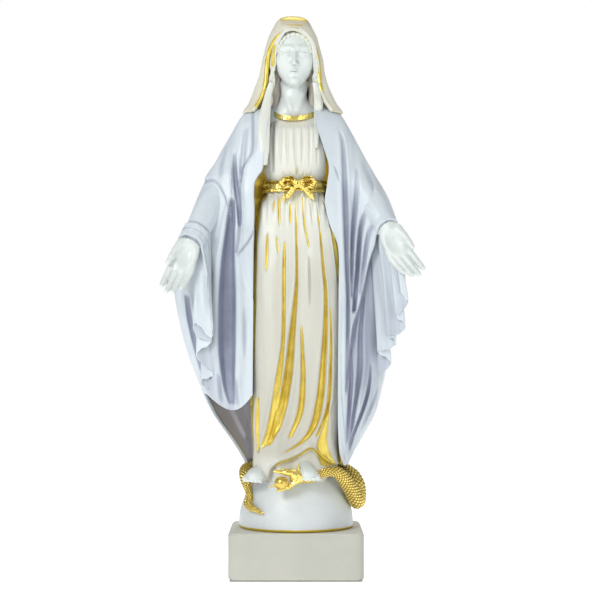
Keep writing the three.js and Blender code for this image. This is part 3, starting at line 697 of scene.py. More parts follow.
def make_sash():
    out, up, angle = band_loop(36, 420)
    x0 = 30 * np.cos(angle)
    face = step(-0.2, 0.6, out)
    pinch = bump(x0, 2, 9)
    radial = np.abs(x0 - 2)
    lines = up * 5.2 + 0.9 * np.sin(x0 / 3.7) * up
    crease = np.sin(lines * mix(1.0, 0.8, pinch) + radial / 26 * np.sign(up))
    crumple = noise2(x0 / 3.2 + 20, up * 2.2 + 9, 12)
    height = face * (0.65 * crease + 0.75 * crumple + 1.2 * pinch)
    half = 5.2 - 0.9 * pinch + 0.5 * noise2(x0 / 5, up * 0, 3)
    z = SASH_Z + half * up
    x, y = gown_rim(np.clip(z, 338, 350), angle, np.where(out < 0, 0.2, 2.6 + height))
    points = np.stack([x, y, z], axis=-1)
    shade = np.clip(0.3 - 0.5 * crease - 0.4 * crumple, 0, 1.0) + 1.0 * step(25, 30, np.abs(x0))
    obj = make_mesh("sash_cloth", points, torus_quads(*out.shape), shade=shade)
    finish_piece(obj, GILDING, "gilding", "sash")


def make_neck_band():
    out, up, angle = band_loop(20, 300)
    front = np.maximum(0, -np.sin(angle))
    level = 413 - 7.5 * front**2
    z = level + 2.1 * up
    grow = np.where(out < 0, -1.5, 1.6) + 0.25 * noise2(angle * 9, up, 5)
    x, y = gown_rim(np.clip(level, 84, 412), angle, grow)
    y = y + 2.0 * front
    x = x - 3.0 * front
    points = np.stack([x, y, z], axis=-1)
    shade = 0.5 * (1 - step(0.1, 0.8, out)) + 0.3 * noise2(angle * 14, up * 2, 6)
    obj = make_mesh("neck_band_gilt", points, torus_quads(*out.shape), shade=shade)
    finish_piece(obj, GILDING, "gilding", "neck_band")


def polyline_limbs(p, points, radii, k, flat=(1, 1, 1)):
    field = None
    for a, b, ra, rb in zip(points, points[1:], radii, radii[1:]):
        part = limb(p, a, b, ra, rb, flat)
        field = part if field is None else smooth_min(field, part, k)
    return field


def make_bow():
    cx, cz, y = 2.0, SASH_Z + 1.5, -26.2
    left_loop = [(cx - 1, y, cz), (cx - 6, y - 1.2, cz + 4.6), (cx - 12, y - 0.6, cz + 4.4),
                 (cx - 15.6, y, cz + 0.8), (cx - 12, y - 0.6, cz - 2.6), (cx - 5, y - 1, cz - 1.8),
                 (cx - 1, y, cz)]
    right_loop = [(cx + 1, y, cz), (cx + 6, y - 1.2, cz + 4.4), (cx + 11, y - 0.8, cz + 5.2),
                  (cx + 15, y, cz + 1.6), (cx + 12.5, y - 0.6, cz - 2.4), (cx + 6, y - 1, cz - 2.2),
                  (cx + 1, y, cz)]
    loop_radii = [1.8, 2.3, 2.1, 1.7, 2.0, 2.2, 1.8]
    left_tail = [(cx - 1, y, cz - 1), (cx - 5, y - 1.4, cz - 5.5), (cx - 9.5, y - 1.2, cz - 11)]
    right_tail = [(cx + 1, y, cz - 1), (cx + 6, y - 1.2, cz - 5), (cx + 11, y - 0.8, cz - 10),
                  (cx + 13.5, y - 0.6, cz - 13.5)]
    drop = [(cx - 12.5, y + 0.2, cz - 9.5), (cx - 13, y + 0.2, cz - 14.5)]

    def field(p):
        wide = (1, 0.62, 1)
        f = polyline_limbs(p, left_loop, loop_radii, 0.8, wide)
        f = np.minimum(f, polyline_limbs(p, right_loop, loop_radii, 0.8, wide))
        f = smooth_min(f, polyline_limbs(p, left_tail, [1.5, 2.2, 2.6], 0.6), 0.6)
        f = smooth_min(f, polyline_limbs(p, right_tail, [1.5, 2.2, 2.9, 1.0], 0.6), 0.6)
        f = smooth_min(f, polyline_limbs(p, drop, [1.1, 1.5], 0.4), 0.4)
        f = smooth_min(f, ball(p, (cx, y - 1.2, cz), (2.9, 3.0, 3.6)), 0.9)
        groove = 0.22 * np.sin((p[0] - cx) * 3.1) * np.exp(-(((p[0] - cx) ** 2 + (p[2] - cz) ** 2) / 26))
        streak = 0.16 * np.sin(p[2] * 4.2 + 1.4 * np.abs(p[0] - cx))
        return f + groove + streak

    points, quads = field_mesh(field, (cx - 19.5, y - 4.2, cz - 18), (cx + 19, y + 4.4, cz + 9), 0.34)
    hollow = smooth_hollow(points, quads)
    obj = make_mesh("bow_cloth", points, quads, shade=hollow)
    finish_piece(obj, GILDING, "gilding", "bow")


def smooth_hollow(points, quads, rounds=6, gain=1.4):
    """How far each point lies inside its neighbours' average surface.

    It is about 0 on a ridge and 1 in a hollow.
    """
    pairs = np.vstack([quads[:, [0, 1]], quads[:, [1, 2]], quads[:, [2, 3]], quads[:, [3, 0]]])
    soft = points.copy()
    count = np.bincount(pairs.ravel(), minlength=len(points))[:, None]
    for _ in range(rounds):
        total = np.zeros_like(soft)
        for axis in range(3):
            total[:, axis] = np.bincount(pairs[:, 0], soft[pairs[:, 1], axis], len(points))
            total[:, axis] += np.bincount(pairs[:, 1], soft[pairs[:, 0], axis], len(points))
        soft = total / np.maximum(count, 1)
    normal = np.zeros_like(points)
    face = np.cross(points[quads[:, 2]] - points[quads[:, 0]], points[quads[:, 3]] - points[quads[:, 1]])
    for corner in range(4):
        for axis in range(3):
            normal[:, axis] += np.bincount(quads[:, corner], face[:, axis], len(points))
    normal /= np.maximum(np.linalg.norm(normal, axis=1, keepdims=True), 1e-9)
    return np.clip(gain * np.einsum("ij,ij->i", soft - points, normal), 0, 1.5)


# ---------- mantle ----------
MANTLE_RIGHT = curve(
    (92, 44), (100, 47), (120, 59), (140, 73), (160, 83), (200, 98), (240, 108),
    (262, 109), (300, 101), (340, 87), (380, 66), (400, 55), (411, 48), (418, 39), (426, 33),
)
MANTLE_LEFT = curve(
    (92, 45), (100, 48), (120, 59), (140, 70), (160, 76), (180, 81), (200, 85), (240, 95),
    (262, 99), (300, 93), (340, 78), (380, 58), (400, 47), (411, 40), (418, 32), (426, 27),
)
MANTLE_FRONT = curve(
    (95, 43), (150, 43), (200, 41), (250, 38), (300, 35), (345, 32), (375, 30), (400, 25), (412, 19),
    (418, 13), (426, 8),
)
MANTLE_BACK = curve(
    (95, 45), (150, 42), (250, 38), (320, 34), (360, 35), (390, 33), (411, 29), (418, 24), (426, 20),
)
EDGE_RIGHT = curve(
    (140, 38), (290, 37), (320, 36), (345, 36), (352, 33), (358, 29), (375, 27), (395, 25), (418, 22),
)
EDGE_LEFT = curve(
    (92, 44), (97, 42), (110, 38), (150, 36.5), (250, 37.5), (290, 37), (312, 29), (330, 25.5), (345, 27.5),
    (362, 29), (380, 24), (400, 18), (418, 16),
)
BACK_SHARE = 0.56
RIGHT_FRONT_FOLDS = [
    Fold((405, -37.5, 2.5, -0.8), (375, -37.5, 2.4, -1.3), (357, -46.5, 2.2, -1.6), (309, -48.4, 2, -1.8),
         (284, -51, 1.6, -1.2), side=0.6, rim=0),
    Fold((400, -44, 3, 0.8), (380, -46, 3, 1.4), (360, -48, 3, 1.6), (344, -50, 2, 1)),
    Fold((376, -55, 1.6, 1), (353, -54, 3, 3.2), (320, -50.5, 3, 3), (306, -49.5, 2, 1), side=0.8),
    Fold((384, -62, 2.2, 0.7), (366, -66, 3, 1.2), (350, -68, 2.5, 0.8)),
    Fold((334, -56, 2.5, 3), (318, -57, 4, 6), (300, -58.5, 5, 8), (276, -60, 6.5, 11), (243, -60.5, 8, 13),
         (199, -60.5, 8, 12), (170, -59, 6, 7), (150, -56, 3, 2), flat=0.4),
    Fold((238, -45, 1.4, 0.6), (210, -44.5, 2.4, 1.2), (190, -44.5, 1.4, 0.5)),
    Fold((175, -52.5, 2, 1), (160, -52, 2.4, 1.6), (148, -50, 2, 0.8)),
    Fold((180, -68, 2, 1.2), (165, -67, 2.4, 1.6), (152, -65, 2, 0.8)),
    Fold((250, -97, 2.5, 2), (225, -94, 3, 3.4), (195, -87, 2.5, 2.6), (170, -80, 2, 0.8)),
    Fold((268, -87, 1.6, 1), (240, -85.5, 2, 2.6), (214, -83.5, 1.6, 1)),
    Fold((262, -79, 1.4, 1), (230, -78.5, 1.8, 2.4), (190, -77, 1.8, 2.2), (172, -75.5, 1.4, 1)),
]
LEFT_FRONT_FOLDS = [
    Fold((396, 39, 2, 0.6), (383, 42, 2.6, 2.2), (353, 43, 3.2, 3.4), (320, 44, 3.2, 4.2), (278, 45, 2.6, 4),
         (243, 46, 2.2, 3.5), (200, 45.5, 2.4, 3), (160, 44.5, 2, 1.6), side=1.3),
    Fold((364, 33, 1.2, 0.8), (355, 36, 1.6, 1.6), (346, 39, 1.1, 0.8), side=0.6),
    Fold((362, 54, 2, 1), (340, 53, 2.8, 2.4), (325, 52, 3, 3), (295, 49.5, 2.6, 4), (243, 49, 2, 3),
         side=0.7),
    Fold((332, 66, 2, 1), (318, 60, 2.8, 2.4), (303, 56.5, 3, 4), (265, 53.5, 3, 6), (230, 50.5, 2.4, 4),
         side=0.7),
    Fold((320, 75, 1.8, 1), (304, 65, 2.4, 2.4), (276, 60, 2.4, 3), (246, 56, 1.8, 2)),
    Fold((370, 60, 3, 0.8), (350, 65, 3.4, 1.6), (335, 70, 2.6, 0.8)),
    Fold((250, 60, 1.4, 1), (215, 57, 3, 4), (180, 56, 3.4, 4.5), (140, 50, 2.4, 3), (112, 46, 1.4, 1),
         side=0.7),
    Fold((205, 48, 1.4, 1), (175, 48.5, 2.4, 3.5), (140, 46.5, 2.4, 3), (116, 44.5, 1.4, 1), side=1.3),
    Fold((188, 67, 1.4, 1), (172, 65.5, 2, 2.6), (153, 61, 2.4, 4), (125, 50.5, 2, 3), (108, 46, 1.2, 1),
         side=0.7),
    Fold((170, 75, 1.4, 0.6), (150, 67, 2, 1.6), (128, 57, 1.4, 0.8)),
    Fold((240, 39, 1.4, -0.8), (160, 38.5, 1.6, -1.6), (100, 44, 1.6, -1.8), rim=0),
]
BACK_FOLDS = [
    Fold((404, -8, 4, 0.6), (300, -13, 7, 2.6), (200, -17, 8, 4), (96, -15, 6, 4.5), side=0.6),
    Fold((404, 10, 4, 0.6), (300, 17, 7, 2.6), (200, 24, 8, 4.2), (96, 19, 6, 4.5), side=1.5),
    Fold((398, -27, 4, 0.6), (300, -42, 8, 3), (200, -50, 9, 5), (96, -32, 5, 4), side=0.7),
    Fold((398, 26, 4, 0.6), (300, 42, 8, 3), (200, 52, 9, 5), (96, 34, 5, 4), side=1.4),
    Fold((352, -62, 4, 0.8), (260, -80, 7, 4), (180, -70, 7, 4.5), (118, -46, 4, 3), side=0.7),
    Fold((352, 58, 4, 0.8), (260, 74, 7, 4), (180, 66, 7, 4.5), (118, 46, 4, 3), side=1.4),
    Fold((240, -30, 3, 0.6), (170, -33, 4, 2), (96, -24, 3, 2.4)),
    Fold((240, 33, 3, 0.6), (170, 38, 4, 2), (96, 27, 3, 2.4)),
    Fold((180, 3, 3, 0.6), (130, 2, 4, 2), (96, 2, 3, 2.4)),
]
LAPEL_LINE = curve((283, -51.5), (309, -48.4), (357, -46.6), (366, -42), (375, -37.5), (414, -37))
LAPEL_END = curve((-52, 283), (-46, 290), (-40, 299), (-35, 309))
FLAP_LINE = curve((240, -37), (246, -39.6), (262, -46), (287, -49), (300, -49))
CUFF_HEM = curve((-84, 351), (-76, 352), (-70, 349), (-64, 338), (-60, 326), (-58, 312))
OPENING_LINE = curve((140, 41), (170, 44), (196, 47), (216, 49.3), (243, 57.2), (276, 65), (290, 69.5),
                     (301, 71))
WRIST_LINE = curve((70, 298), (74, 305), (80, 311), (86, 315), (94, 318))
LEFT_ARM = curve((262, 78), (305, 76), (320, 72), (340, 64), (356, 56), (375, 48))


def mantle_place(s, z, inset):
    """The plain mantle surface. s runs from -1, the right front edge, round the back to 1, the left one."""
    side = np.where(s < 0, -1.0, 1.0)
    outline = np.where(s < 0, MANTLE_RIGHT(z), MANTLE_LEFT(z))
    edge = np.where(s < 0, EDGE_RIGHT(z), EDGE_LEFT(z))
    t = np.abs(s)
    wide = outline - inset
    turn = np.clip(t / BACK_SHARE, 0, 1) * math.pi / 2
    back_x = wide * np.sin(turn) ** 0.8
    back_y = (MANTLE_BACK(z) - inset) * np.cos(turn) ** 0.9
    last = np.arccos(np.clip(edge / outline, 0, 1))
    share = np.clip((t - BACK_SHARE) / (1 - BACK_SHARE), 0, 1)
    angle = share * last
    front_x = (wide + inset * step(0.5, 1, share)) * np.cos(angle)
    laid_back = 5 * step(0.72, 1, share) * step(120, 200, z) * (1 - step(300, 340, z))
    front_y = -(MANTLE_FRONT(z) - inset) * np.sin(angle) ** 0.75 + laid_back
    behind = t < BACK_SHARE
    x = side * np.where(behind, back_x, front_x)
    y = np.where(behind, back_y, front_y) + AXIS_Y
    return np.stack([x, y, z + 0 * x], axis=-1)


def mantle_hem(s):
    share = np.clip((s + 1) / 0.33, 0, 1)
    panel = 160 - 14 * np.sin(math.pi * share**0.7) ** 1.2
    ripple = 1.6 * np.sin(s * 19) * step(-0.5, -0.3, s) * step(0.62, 0.4, s)
    return mix(97 + ripple, panel, 1 - step(-0.60, -0.545, s))


def mantle_relief(x, y, z, s):
    """(height, shade) of the mantle's folds at a place on its plain surface."""
    t = np.abs(s)
    front = step(BACK_SHARE - 0.02, BACK_SHARE + 0.07, t)
    back = 1 - step(BACK_SHARE - 0.08, BACK_SHARE, t)
    right_h, _, right_shade = folded(RIGHT_FRONT_FOLDS, x, z)
    left_h, _, left_shade = folded(LEFT_FRONT_FOLDS, x, z)
    back_h, _, back_shade = folded(BACK_FOLDS, x, z)
    lapel = step(-0.4, 0.9, x - LAPEL_LINE(z)) * step(LAPEL_END(x) - 0.5, LAPEL_END(x) + 0.8, z) * (x < 0)
    flap = step(-0.4, 0.9, x - FLAP_LINE(z)) * step(240, 244, z) * (1 - step(300, 312, z)) * (x < 0)
    hood = step(CUFF_HEM(x) - 0.7, CUFF_HEM(x) + 0.7, z) * (x < -57) * (x > -86) * (1 - step(352, 372, z))
    aside = step(BACK_SHARE, BACK_SHARE + 0.22, t)
    beyond = step(-0.8, 1.0, x - OPENING_LINE(z)) * step(140, 215, z)
    beyond = beyond * step(0.8, -0.8, z - WRIST_LINE(x)) * (x > 0)
    arm = np.exp(-(((x - LEFT_ARM(z)) / 13) ** 2)) * step(372, 330, z)
    arm = arm * (1 - beyond) * (x > 40) * step(262, 305, z)
    draped = left_h * (1 - 0.75 * arm) + 11 * arm * step(0.0, 0.5, front)
    height = front * (right_h + draped + 2.8 * lapel + 1.6 * flap + 2.4 * hood - 8.5 * beyond) + back * back_h
    # painted contact shadows: dark lines beside the lapel, its end, the cuff hem, the opening and the wrist
    # line
    contact_shadow = bump(x, LAPEL_LINE(z) - 1.6, 1.5) * (z > 284) * (x < 0)
    contact_shadow += bump(z, LAPEL_END(x) - 1.4, 1.3) * (x < -34) * (x > -52)
    contact_shadow += bump(z, CUFF_HEM(x) - 1.8, 1.6) * (x < -57) * (x > -86)
    contact_shadow += bump(x, OPENING_LINE(z) + 1.6, 1.6) * step(150, 215, z) * (z < 300) * (x > 0)
    contact_shadow += bump(z, WRIST_LINE(x) - 1.4, 1.4) * (x > 70) * (z > 296)
    valleys = (1.1 * right_shade + 0.8 * left_shade + 1.2 * beyond * aside) / 4.4
    shade = front * (valleys + 0.5 * contact_shadow) + back * back_shade / 8
    height += 0.45 * noise2(x / 13 + 7, z / 38, 21) + 0.25 * noise2(x / 6, z / 14 + 3, 22)
    shade += front * (0.2 + 0.22 * step(41, 46, x) * step(372, 330, z) * aside) * (1 - 0.7 * arm)
    shade += 0.25 * front * noise2(x / 7 + 2, z / 60 + 5, 27) * step(30, 44, np.abs(x))
    shade += front * 0.3 * (x < 0) * (step(-50, -56, x) * step(-84, -72, x) * step(300, 230, z))
    return height, np.clip(shade, 0, 1.4)


def mantle_sheet(s, z, depth, behind=0):
    """(points, shade) of the folded mantle at a depth under its outer face.

    behind is how many columns a fold wall is widened by, so that the lining stays inside the cloth.
    """
    plain = mantle_place(s, z, 0 * z)
    relief, shade = mantle_relief(plain[..., 0], plain[..., 1], z, s)
    relief *= 1 - 0.6 * step(405, 420, z)
    room = 1.2 + 0.42 * np.maximum(np.abs(plain[..., 1] - AXIS_Y) - 3, 0)
    relief = np.where(relief < 0, -room * np.tanh(-relief / room), relief)
    for shift in range(1, behind + 1):
        relief = np.minimum(relief, np.minimum(np.roll(relief, shift, 1), np.roll(relief, -shift, 1)))
    base = mantle_place(s, z, depth)
    normal = grid_normals(base) * [1, 1, 0]
    centre = base * [1, 1, 0] - [0, AXIS_Y, 0]
    flip = np.sign(np.einsum("...k,...k->...", normal, centre) + 1e-6)
    smooth = flip[..., None] * normal
    smooth /= np.maximum(np.linalg.norm(smooth, axis=-1, keepdims=True), 1e-9)
    forward = step(0.60, 0.74, np.abs(s))[..., None]
    direction = mix(smooth, np.array([0.0, -1.0, 0.0]), 0.75 * forward)
    return base + direction * relief[..., None], shade


def make_mantle():
    top = 424.0
    inner = [(1.0, 1.2), (1.0, 3.2), (1.0, 6), (1.0, 9), (1.0, 12)]
    half = np.concatenate([np.linspace(0, BACK_SHARE, 92)[:-1], np.linspace(BACK_SHARE, 1, 112)])
    s = np.concatenate([[-e for e, _ in inner[::-1]], -half[::-1], half[1:], [e for e, _ in inner]])
    inset = np.concatenate([[i for _, i in inner[::-1]], 0 * half, 0 * half[1:], [i for _, i in inner]])
    v = np.linspace(0, 1, 272)
    hem = mantle_hem(s)[None, :]
    turned = np.array([[7.0], [0.6], [0.0]])
    z = np.vstack([hem + turned, mix(hem, top, v[:, None])])
    depth = np.maximum(np.concatenate([[3.4, 3.4, 1.2], 0 * v])[:, None], inset[None, :])
    S = np.broadcast_to(s[None, :], z.shape)
    points, shade = mantle_sheet(S, z, depth)
    obj = make_mesh("mantle_cloth", points, grid_quads(*z.shape), shade=shade + 0.4 * (depth > 1))
    finish_piece(obj, MANTLE_PAINT, "mantle_paint", "mantle")

    s = np.linspace(-0.985, 0.985, 190)[None, :]
    hem = mantle_hem(s) + 4
    z = mix(hem, top - 2, np.linspace(0, 1, 130)[:, None])
    points, shade = mantle_sheet(np.broadcast_to(s, z.shape), z, 3.6 + 0 * z, behind=2)
    lining = make_mesh("mantle_lining", points, grid_quads(*z.shape)[:, ::-1], shade=0.3 * shade)
    finish_piece(lining, LINING_PAINT, "mantle_paint")


def make_recess():
    """The gilt return between the gown's sides and the mantle's front edges, darkened with painted shade."""
    for side, word, inner, outer in ((-1, "right", 26, 40), (1, "left", 22, 41)):
        z = np.linspace(150 if side < 0 else 98, 372, 150)[:, None]
        t = np.linspace(0, 1, 16)[None, :]
        edge = EDGE_RIGHT(z) if side < 0 else EDGE_LEFT(z)
        start = np.minimum(inner + 0 * z, GOWN_WIDTH(z) - 5)
        x = mix(start, np.minimum(edge + 2.5, outer), t)
        depth = mix(0.2 * GOWN_FRONT(z), np.minimum(GOWN_FRONT(z), MANTLE_FRONT(z)) * 0.6, t)
        y = AXIS_Y - depth + 0.5 * noise2(x / 5, z / 20, 81)
        gold = step(300, 308, z) * step(362, 356, z) * (side < 0) + 0.8 * (1 - step(300, 308, z)) + 0 * x
        gold = np.maximum(gold, (side > 0) * step(320, 326, z) + 0 * x)
        # painted shade along the whole strip, deepest at the sash on the right
        shade = 4.5 * bump(z, 340, 6) * (side < 0) + 1.2 + 0 * x
        points = np.stack([side * x, y, z + 0 * x], axis=-1)
        quads = grid_quads(*x.shape)
        quads = quads if side > 0 else quads[:, ::-1]
        strip = make_mesh(f"recess_{word}", points, quads, gold=gold, shade=shade)
        finish_piece(thicken(strip, 1.2, 0), GOWN_PAINT, "gown_paint")


# ---------- sleeves ----------
ELBOW = {"right": np.array([-64.0, 6, 352]), "left": np.array([52.0, 6, 356])}
CUFF_END = {"right": np.array([-90.0, -33, 298]), "left": np.array([77.0, -31, 311])}
WRIST = {"right": np.array([-91.0, -33, 298]), "left": np.array([79.0, -32, 310])}
HAND_TURN = {"right": (-0.3, 0.30, 0.1), "left": (-0.3, -0.38, -0.1)}
HAND_FAN = {"right": 5, "left": 12}
# The hanging edge folds to and fro. Rows of (x, y, z of the cut edge), from the body side to the hand.
CASCADE = {
    "right": [(-86, -4, 190), (-84, -12, 174), (-73, -18, 164), (-81, -22, 166), (-83, -24, 172),
              (-72, -27, 177),
              (-85, -31, 190), (-86, -33, 197), (-74, -36, 205), (-84, -37, 209), (-89, -38, 215),
              (-87, -39, 222),
              (-74, -41, 209), (-73, -42, 222), (-76, -43, 243), (-77, -43.5, 262)],
    "left": [(76, 0, 194), (74, -9, 184), (66, -13, 174), (76, -17, 178), (81, -19, 183), (83, -22, 189),
             (72, -25, 197), (80, -27, 199), (87, -29, 203), (86, -31, 208), (80, -33, 211), (88, -35, 212),
             (94, -37, 216), (94, -38.5, 222), (87, -40, 228), (93, -41, 233), (97, -42, 241),
             (91, -43, 248)],
}


def make_sleeve(side):
    sign = -1 if side == "right" else 1
    elbow, wrist = ELBOW[side], CUFF_END[side]
    along = np.concatenate([np.linspace(-0.12, 1.10, 96), [1.105, 1.105, 1.06, 0.9]])
    axis = elbow + (wrist - elbow) * along[:, None]
    axis[:, 1] -= 2.5 * np.sin(np.clip(along, 0, 1) * math.pi)
    cuffed = 1.0 if side == "right" else 0.0
    radius = mix(13.8, 10.6 if side == "right" else 10.2, np.clip(along, 0, 1))
    radius = radius + cuffed * (1.5 * step(0.88, 0.91, along) - 0.5 * step(1.0, 1.03, along))
    radius[-4:] = radius[95] - np.array([0.8, 1.9, 2.3, 2.5])
    points, spoke = tube_points(axis, radius, 96)
    face = np.arctan2(spoke[..., 2], sign * spoke[..., 0])
    T = np.broadcast_to(along[:, None], face.shape)
    wrap = 1.3 * noise2(T * 3.4 + 3, face * 1.1 + 5, 31 if sign < 0 else 35)
    crease = 1.1 * bump(face + 1.9 * T, -0.2, 0.16) + 1.0 * bump(face + 1.2 * T, -1.5, 0.2)
    sag = np.maximum(-spoke[..., 2], 0) ** 2
    height = 0.9 * wrap - crease * bump(T, 0.5, 0.32) + 3.2 * sag * bump(T, 0.45, 0.35)
    height[-4:] = 0
    points = points + spoke * height[..., None]
    # painted shade: dark lines at the cuff's two edges and at the sleeve's end ring
    rings = cuffed * (0.5 * bump(T, 1.0, 0.016) + 0.55 * bump(T, 0.88, 0.018))
    shade = np.clip(crease * bump(T, 0.5, 0.32) - 0.16 * wrap * bump(T, 0.5, 0.5) + rings, 0, 1.2)
    shade[-4:] = 0.1 + 0.2 * cuffed
    shade += 0.12
    obj = make_mesh(f"sleeve_{side}_tube", points, grid_quads(*face.shape, closed=True), shade=shade)
    finish_piece(obj, MANTLE_PAINT, "mantle_paint", f"sleeve_{side}")

    rows = np.array(CASCADE[side], float)
    edge = spline(rows, 230)
    centre = edge[:, :2].mean(axis=0)
    v = np.linspace(0, 1, 110)[:, None]
    share = np.linspace(0, 1, len(edge))[None, :]
    top = elbow + (wrist - elbow) * mix(0.25, 0.93, share.T)
    top_xy = top[:, :2] * 0.8 + 0.2 * edge[:, :2]
    gather = v**1.3
    x = mix(edge[None, :, 0], top_xy[None, :, 0] + 0.35 * (edge[None, :, 0] - centre[0]), gather)
    y = mix(edge[None, :, 1], top_xy[None, :, 1] + 0.35 * (edge[None, :, 1] - centre[1]), gather)
    z = mix(edge[None, :, 2], top[None, :, 2] - 5, v)
    z = z + 0.5 * np.sin(x * 0.9) * (1 - v) ** 8
    drift = 0.5 * noise2(share * 30 + 0 * v, v * 3 + 2, 41, 1)
    points = np.stack([x, y + drift, z], axis=-1)
    # painted shade: pleats that turn back are darker, with streaks of crease shade
    tucked = step(-0.02, 0.12, sign * np.gradient(edge[:, 0]))[None, :]
    crease_shade = noise2(share * 26 + 0 * v, v * 2 + 1, 45)
    shade = np.clip(0.1 + 0.34 * tucked * (1 - 0.6 * v) + 0.25 * crease_shade + 0 * z, 0, 1.2)
    cloth = make_mesh(f"sleeve_{side}_cascade", points, grid_quads(*z.shape), shade=shade)
    thicken(cloth, 1.6, 0)
    finish_piece(cloth, MANTLE_PAINT, "mantle_paint")


# ---------- veil, hair and lappets ----------
VEIL_X = -3.0
VEIL_WIDTH = curve(
    (412, 46), (416, 43.5), (420, 40.5), (432, 35), (446, 30.5), (461, 28), (468, 26.3), (475, 24.4),
    (482, 22.3),
    (489, 18.8), (495, 15.6), (498.5, 12), (500.5, 7), (501, 1),
)
VEIL_BACK = curve((412, 35), (420, 30.5), (432, 28), (455, 29), (475, 27.5), (488, 22), (496, 14), (501, 1))
VEIL_FRONT = curve(
    (412, 24), (425, 18), (445, 15), (465, 17), (480, 19.5), (487, 19.5), (493, 16.5), (497, 12.5), (501, 1),
)
VEIL_OPENING = curve(
    (412, 36), (418, 31.5), (428, 26.5), (438, 24.3), (449, 23.4), (458, 22.6), (466, 20.9), (470, 19.3),
    (474, 17), (477, 14.8), (480, 11.8), (482.5, 8), (484, 4.5), (485, 0),
)


def veil_place(s, z, inset):
    wide = VEIL_WIDTH(z)
    opening = np.where(z > 485, 0.0, VEIL_OPENING(z))
    last = math.pi / 2 + np.arccos(np.clip(opening / wide, 0, 1))
    angle = s * last
    deep = np.where(np.cos(angle) < 0, VEIL_FRONT(z), VEIL_BACK(z)) - inset
    x = VEIL_X + (wide - inset) * np.sin(angle)
    y = 1 + np.maximum(deep, 0.2) * np.cos(angle)
    return np.stack([x, y, z - np.where(z > 480, 0.9 * inset, 0)], axis=-1)


def make_veil():
    crown = 501 - 10.6 * np.linspace(1, 0, 26)[1:] ** 1.7
    heights = np.concatenate([np.linspace(412.5, 476, 92), np.linspace(476.6, 490, 40), crown])
    across = np.sin(np.linspace(-1, 1, 201) * math.pi / 2 * 0.9) / math.sin(math.pi / 2 * 0.9)
    z, s = np.meshgrid(heights, across, indexing="ij")
    points = veil_place(s, z, 0 * z)
    x, y = points[..., 0], points[..., 1]
    angle = np.arctan2(x - VEIL_X, y - 1)
    low = 1 - step(430, 478, z)
    height = 1.7 * low * np.cos(7 * angle + 0.6 * np.sin(z / 15)) * step(3.0, 2.0, np.abs(angle))
    height += 0.9 * noise2(angle * 3 + 9, z / 24, 51) * (0.35 + 0.65 * low)
    height += 0.5 * low * noise2(angle * 8, z / 30, 52)
    outward = np.stack([x - VEIL_X, y - 1, 0 * x], axis=-1)
    outward /= np.maximum(np.linalg.norm(outward, axis=-1, keepdims=True), 1e-6)
    fade = (1 - step(484, 497, z))[..., None]
    points = points + outward * (height[..., None] * fade - 0.5)
    shade = np.clip(-height * 0.45 * fade[..., 0], 0, 1)
    front = y < -1
    patch = step(1.15, 0.95, np.hypot((x + 1) / 14, (y + 4) / 12))
    gold = step(492.6, 494.6, z + 0.5 * noise2(x / 3, y / 3, 53)) * patch
    gold = np.maximum(gold, 0.9 * bump(z, 489, 0.7) * step(9, 6, np.abs(x + 1)) * front)
    gold = np.maximum(gold, 0.42 * step(414.5, 413.2, z) * (np.abs(angle) > 1.2))
    shade += 0.7 * bump(z, 492, 4) * front * step(16, 12, np.abs(x))
    obj = make_mesh("veil_cloth", points, grid_quads(*z.shape)[:, ::-1], gold=gold, shade=shade)
    thicken(obj, 2.4, -1)
    finish_piece(obj, VEIL_PAINT, "veil_paint", "veil")

    sweep = np.concatenate([np.linspace(412.5, 474, 30), np.linspace(475, 484.9, 22)])
    left = veil_place(np.full_like(sweep, -1.0), sweep, 0 * sweep)
    right = veil_place(np.full_like(sweep, 1.0), sweep, 0 * sweep)
    count, around = 330, 20
    path = spline(np.vstack([left, right[::-1]]), count)
    path[:, 1] -= 0.2
    high = step(476, 484, path[:, 2])
    rows, spoke = tube_points(path, 2.0 - 0.6 * high, around)
    level = path[:, 2]
    right_gild = 1 - 0.9 * step(479, 483, level)
    left_gild = step(425, 441, level) * (1 - 0.9 * step(477, 482, level)) + 0.3 * step(441, 425, level)
    gild = np.where(path[:, 0] < VEIL_X, right_gild, left_gild) * step(411, 419, level)
    gold = np.broadcast_to(gild[:, None], spoke.shape[:2])
    ripple = 0.18 * noise2(np.arange(count)[:, None] / 7, np.arange(around)[None, :] / 4, 54)
    rows = rows + spoke * ripple[..., None]
    rim = closed_loft("veil_rim", rows, gold=gold, shade=0.3 * gold)
    finish_piece(rim, VEIL_PAINT, "veil_paint")


RIBBON_RINGS, RIBBON_AROUND, RIBBON_THICK = 120, 24, 1.5


def ribbon(name, path, widths, across):
    """A soft flat lappet along a path. across is the direction of its width."""
    path = spline(path, RIBBON_RINGS)
    widths = np.interp(np.linspace(0, 1, RIBBON_RINGS), np.linspace(0, 1, len(widths)), widths)
    tangent = np.gradient(path, axis=0)
    tangent /= np.linalg.norm(tangent, axis=1, keepdims=True)
    side = np.array(across, float) - tangent * (tangent @ np.array(across, float))[:, None]
    side /= np.linalg.norm(side, axis=1, keepdims=True)
    out = np.cross(side, tangent)
    angle = np.linspace(0, 2 * math.pi, RIBBON_AROUND, endpoint=False)
    c, s = np.cos(angle), np.sin(angle)
    flat = np.sign(c) * np.abs(c) ** 0.8
    wave = 0.35 * np.sin(4.2 * flat + 0.6)[None, :] * (s > 0)
    points = path[:, None] + side[:, None] * (widths[:, None] * flat)[..., None]
    points = points + out[:, None] * (RIBBON_THICK * s[None, :] + wave)[..., None]
    shade = 0.1 + 0.15 * (wave < 0) + np.zeros((RIBBON_RINGS, RIBBON_AROUND))
    obj = closed_loft(name, points, shade=shade)
    finish_piece(obj, HAIR_PAINT, "veil_paint")


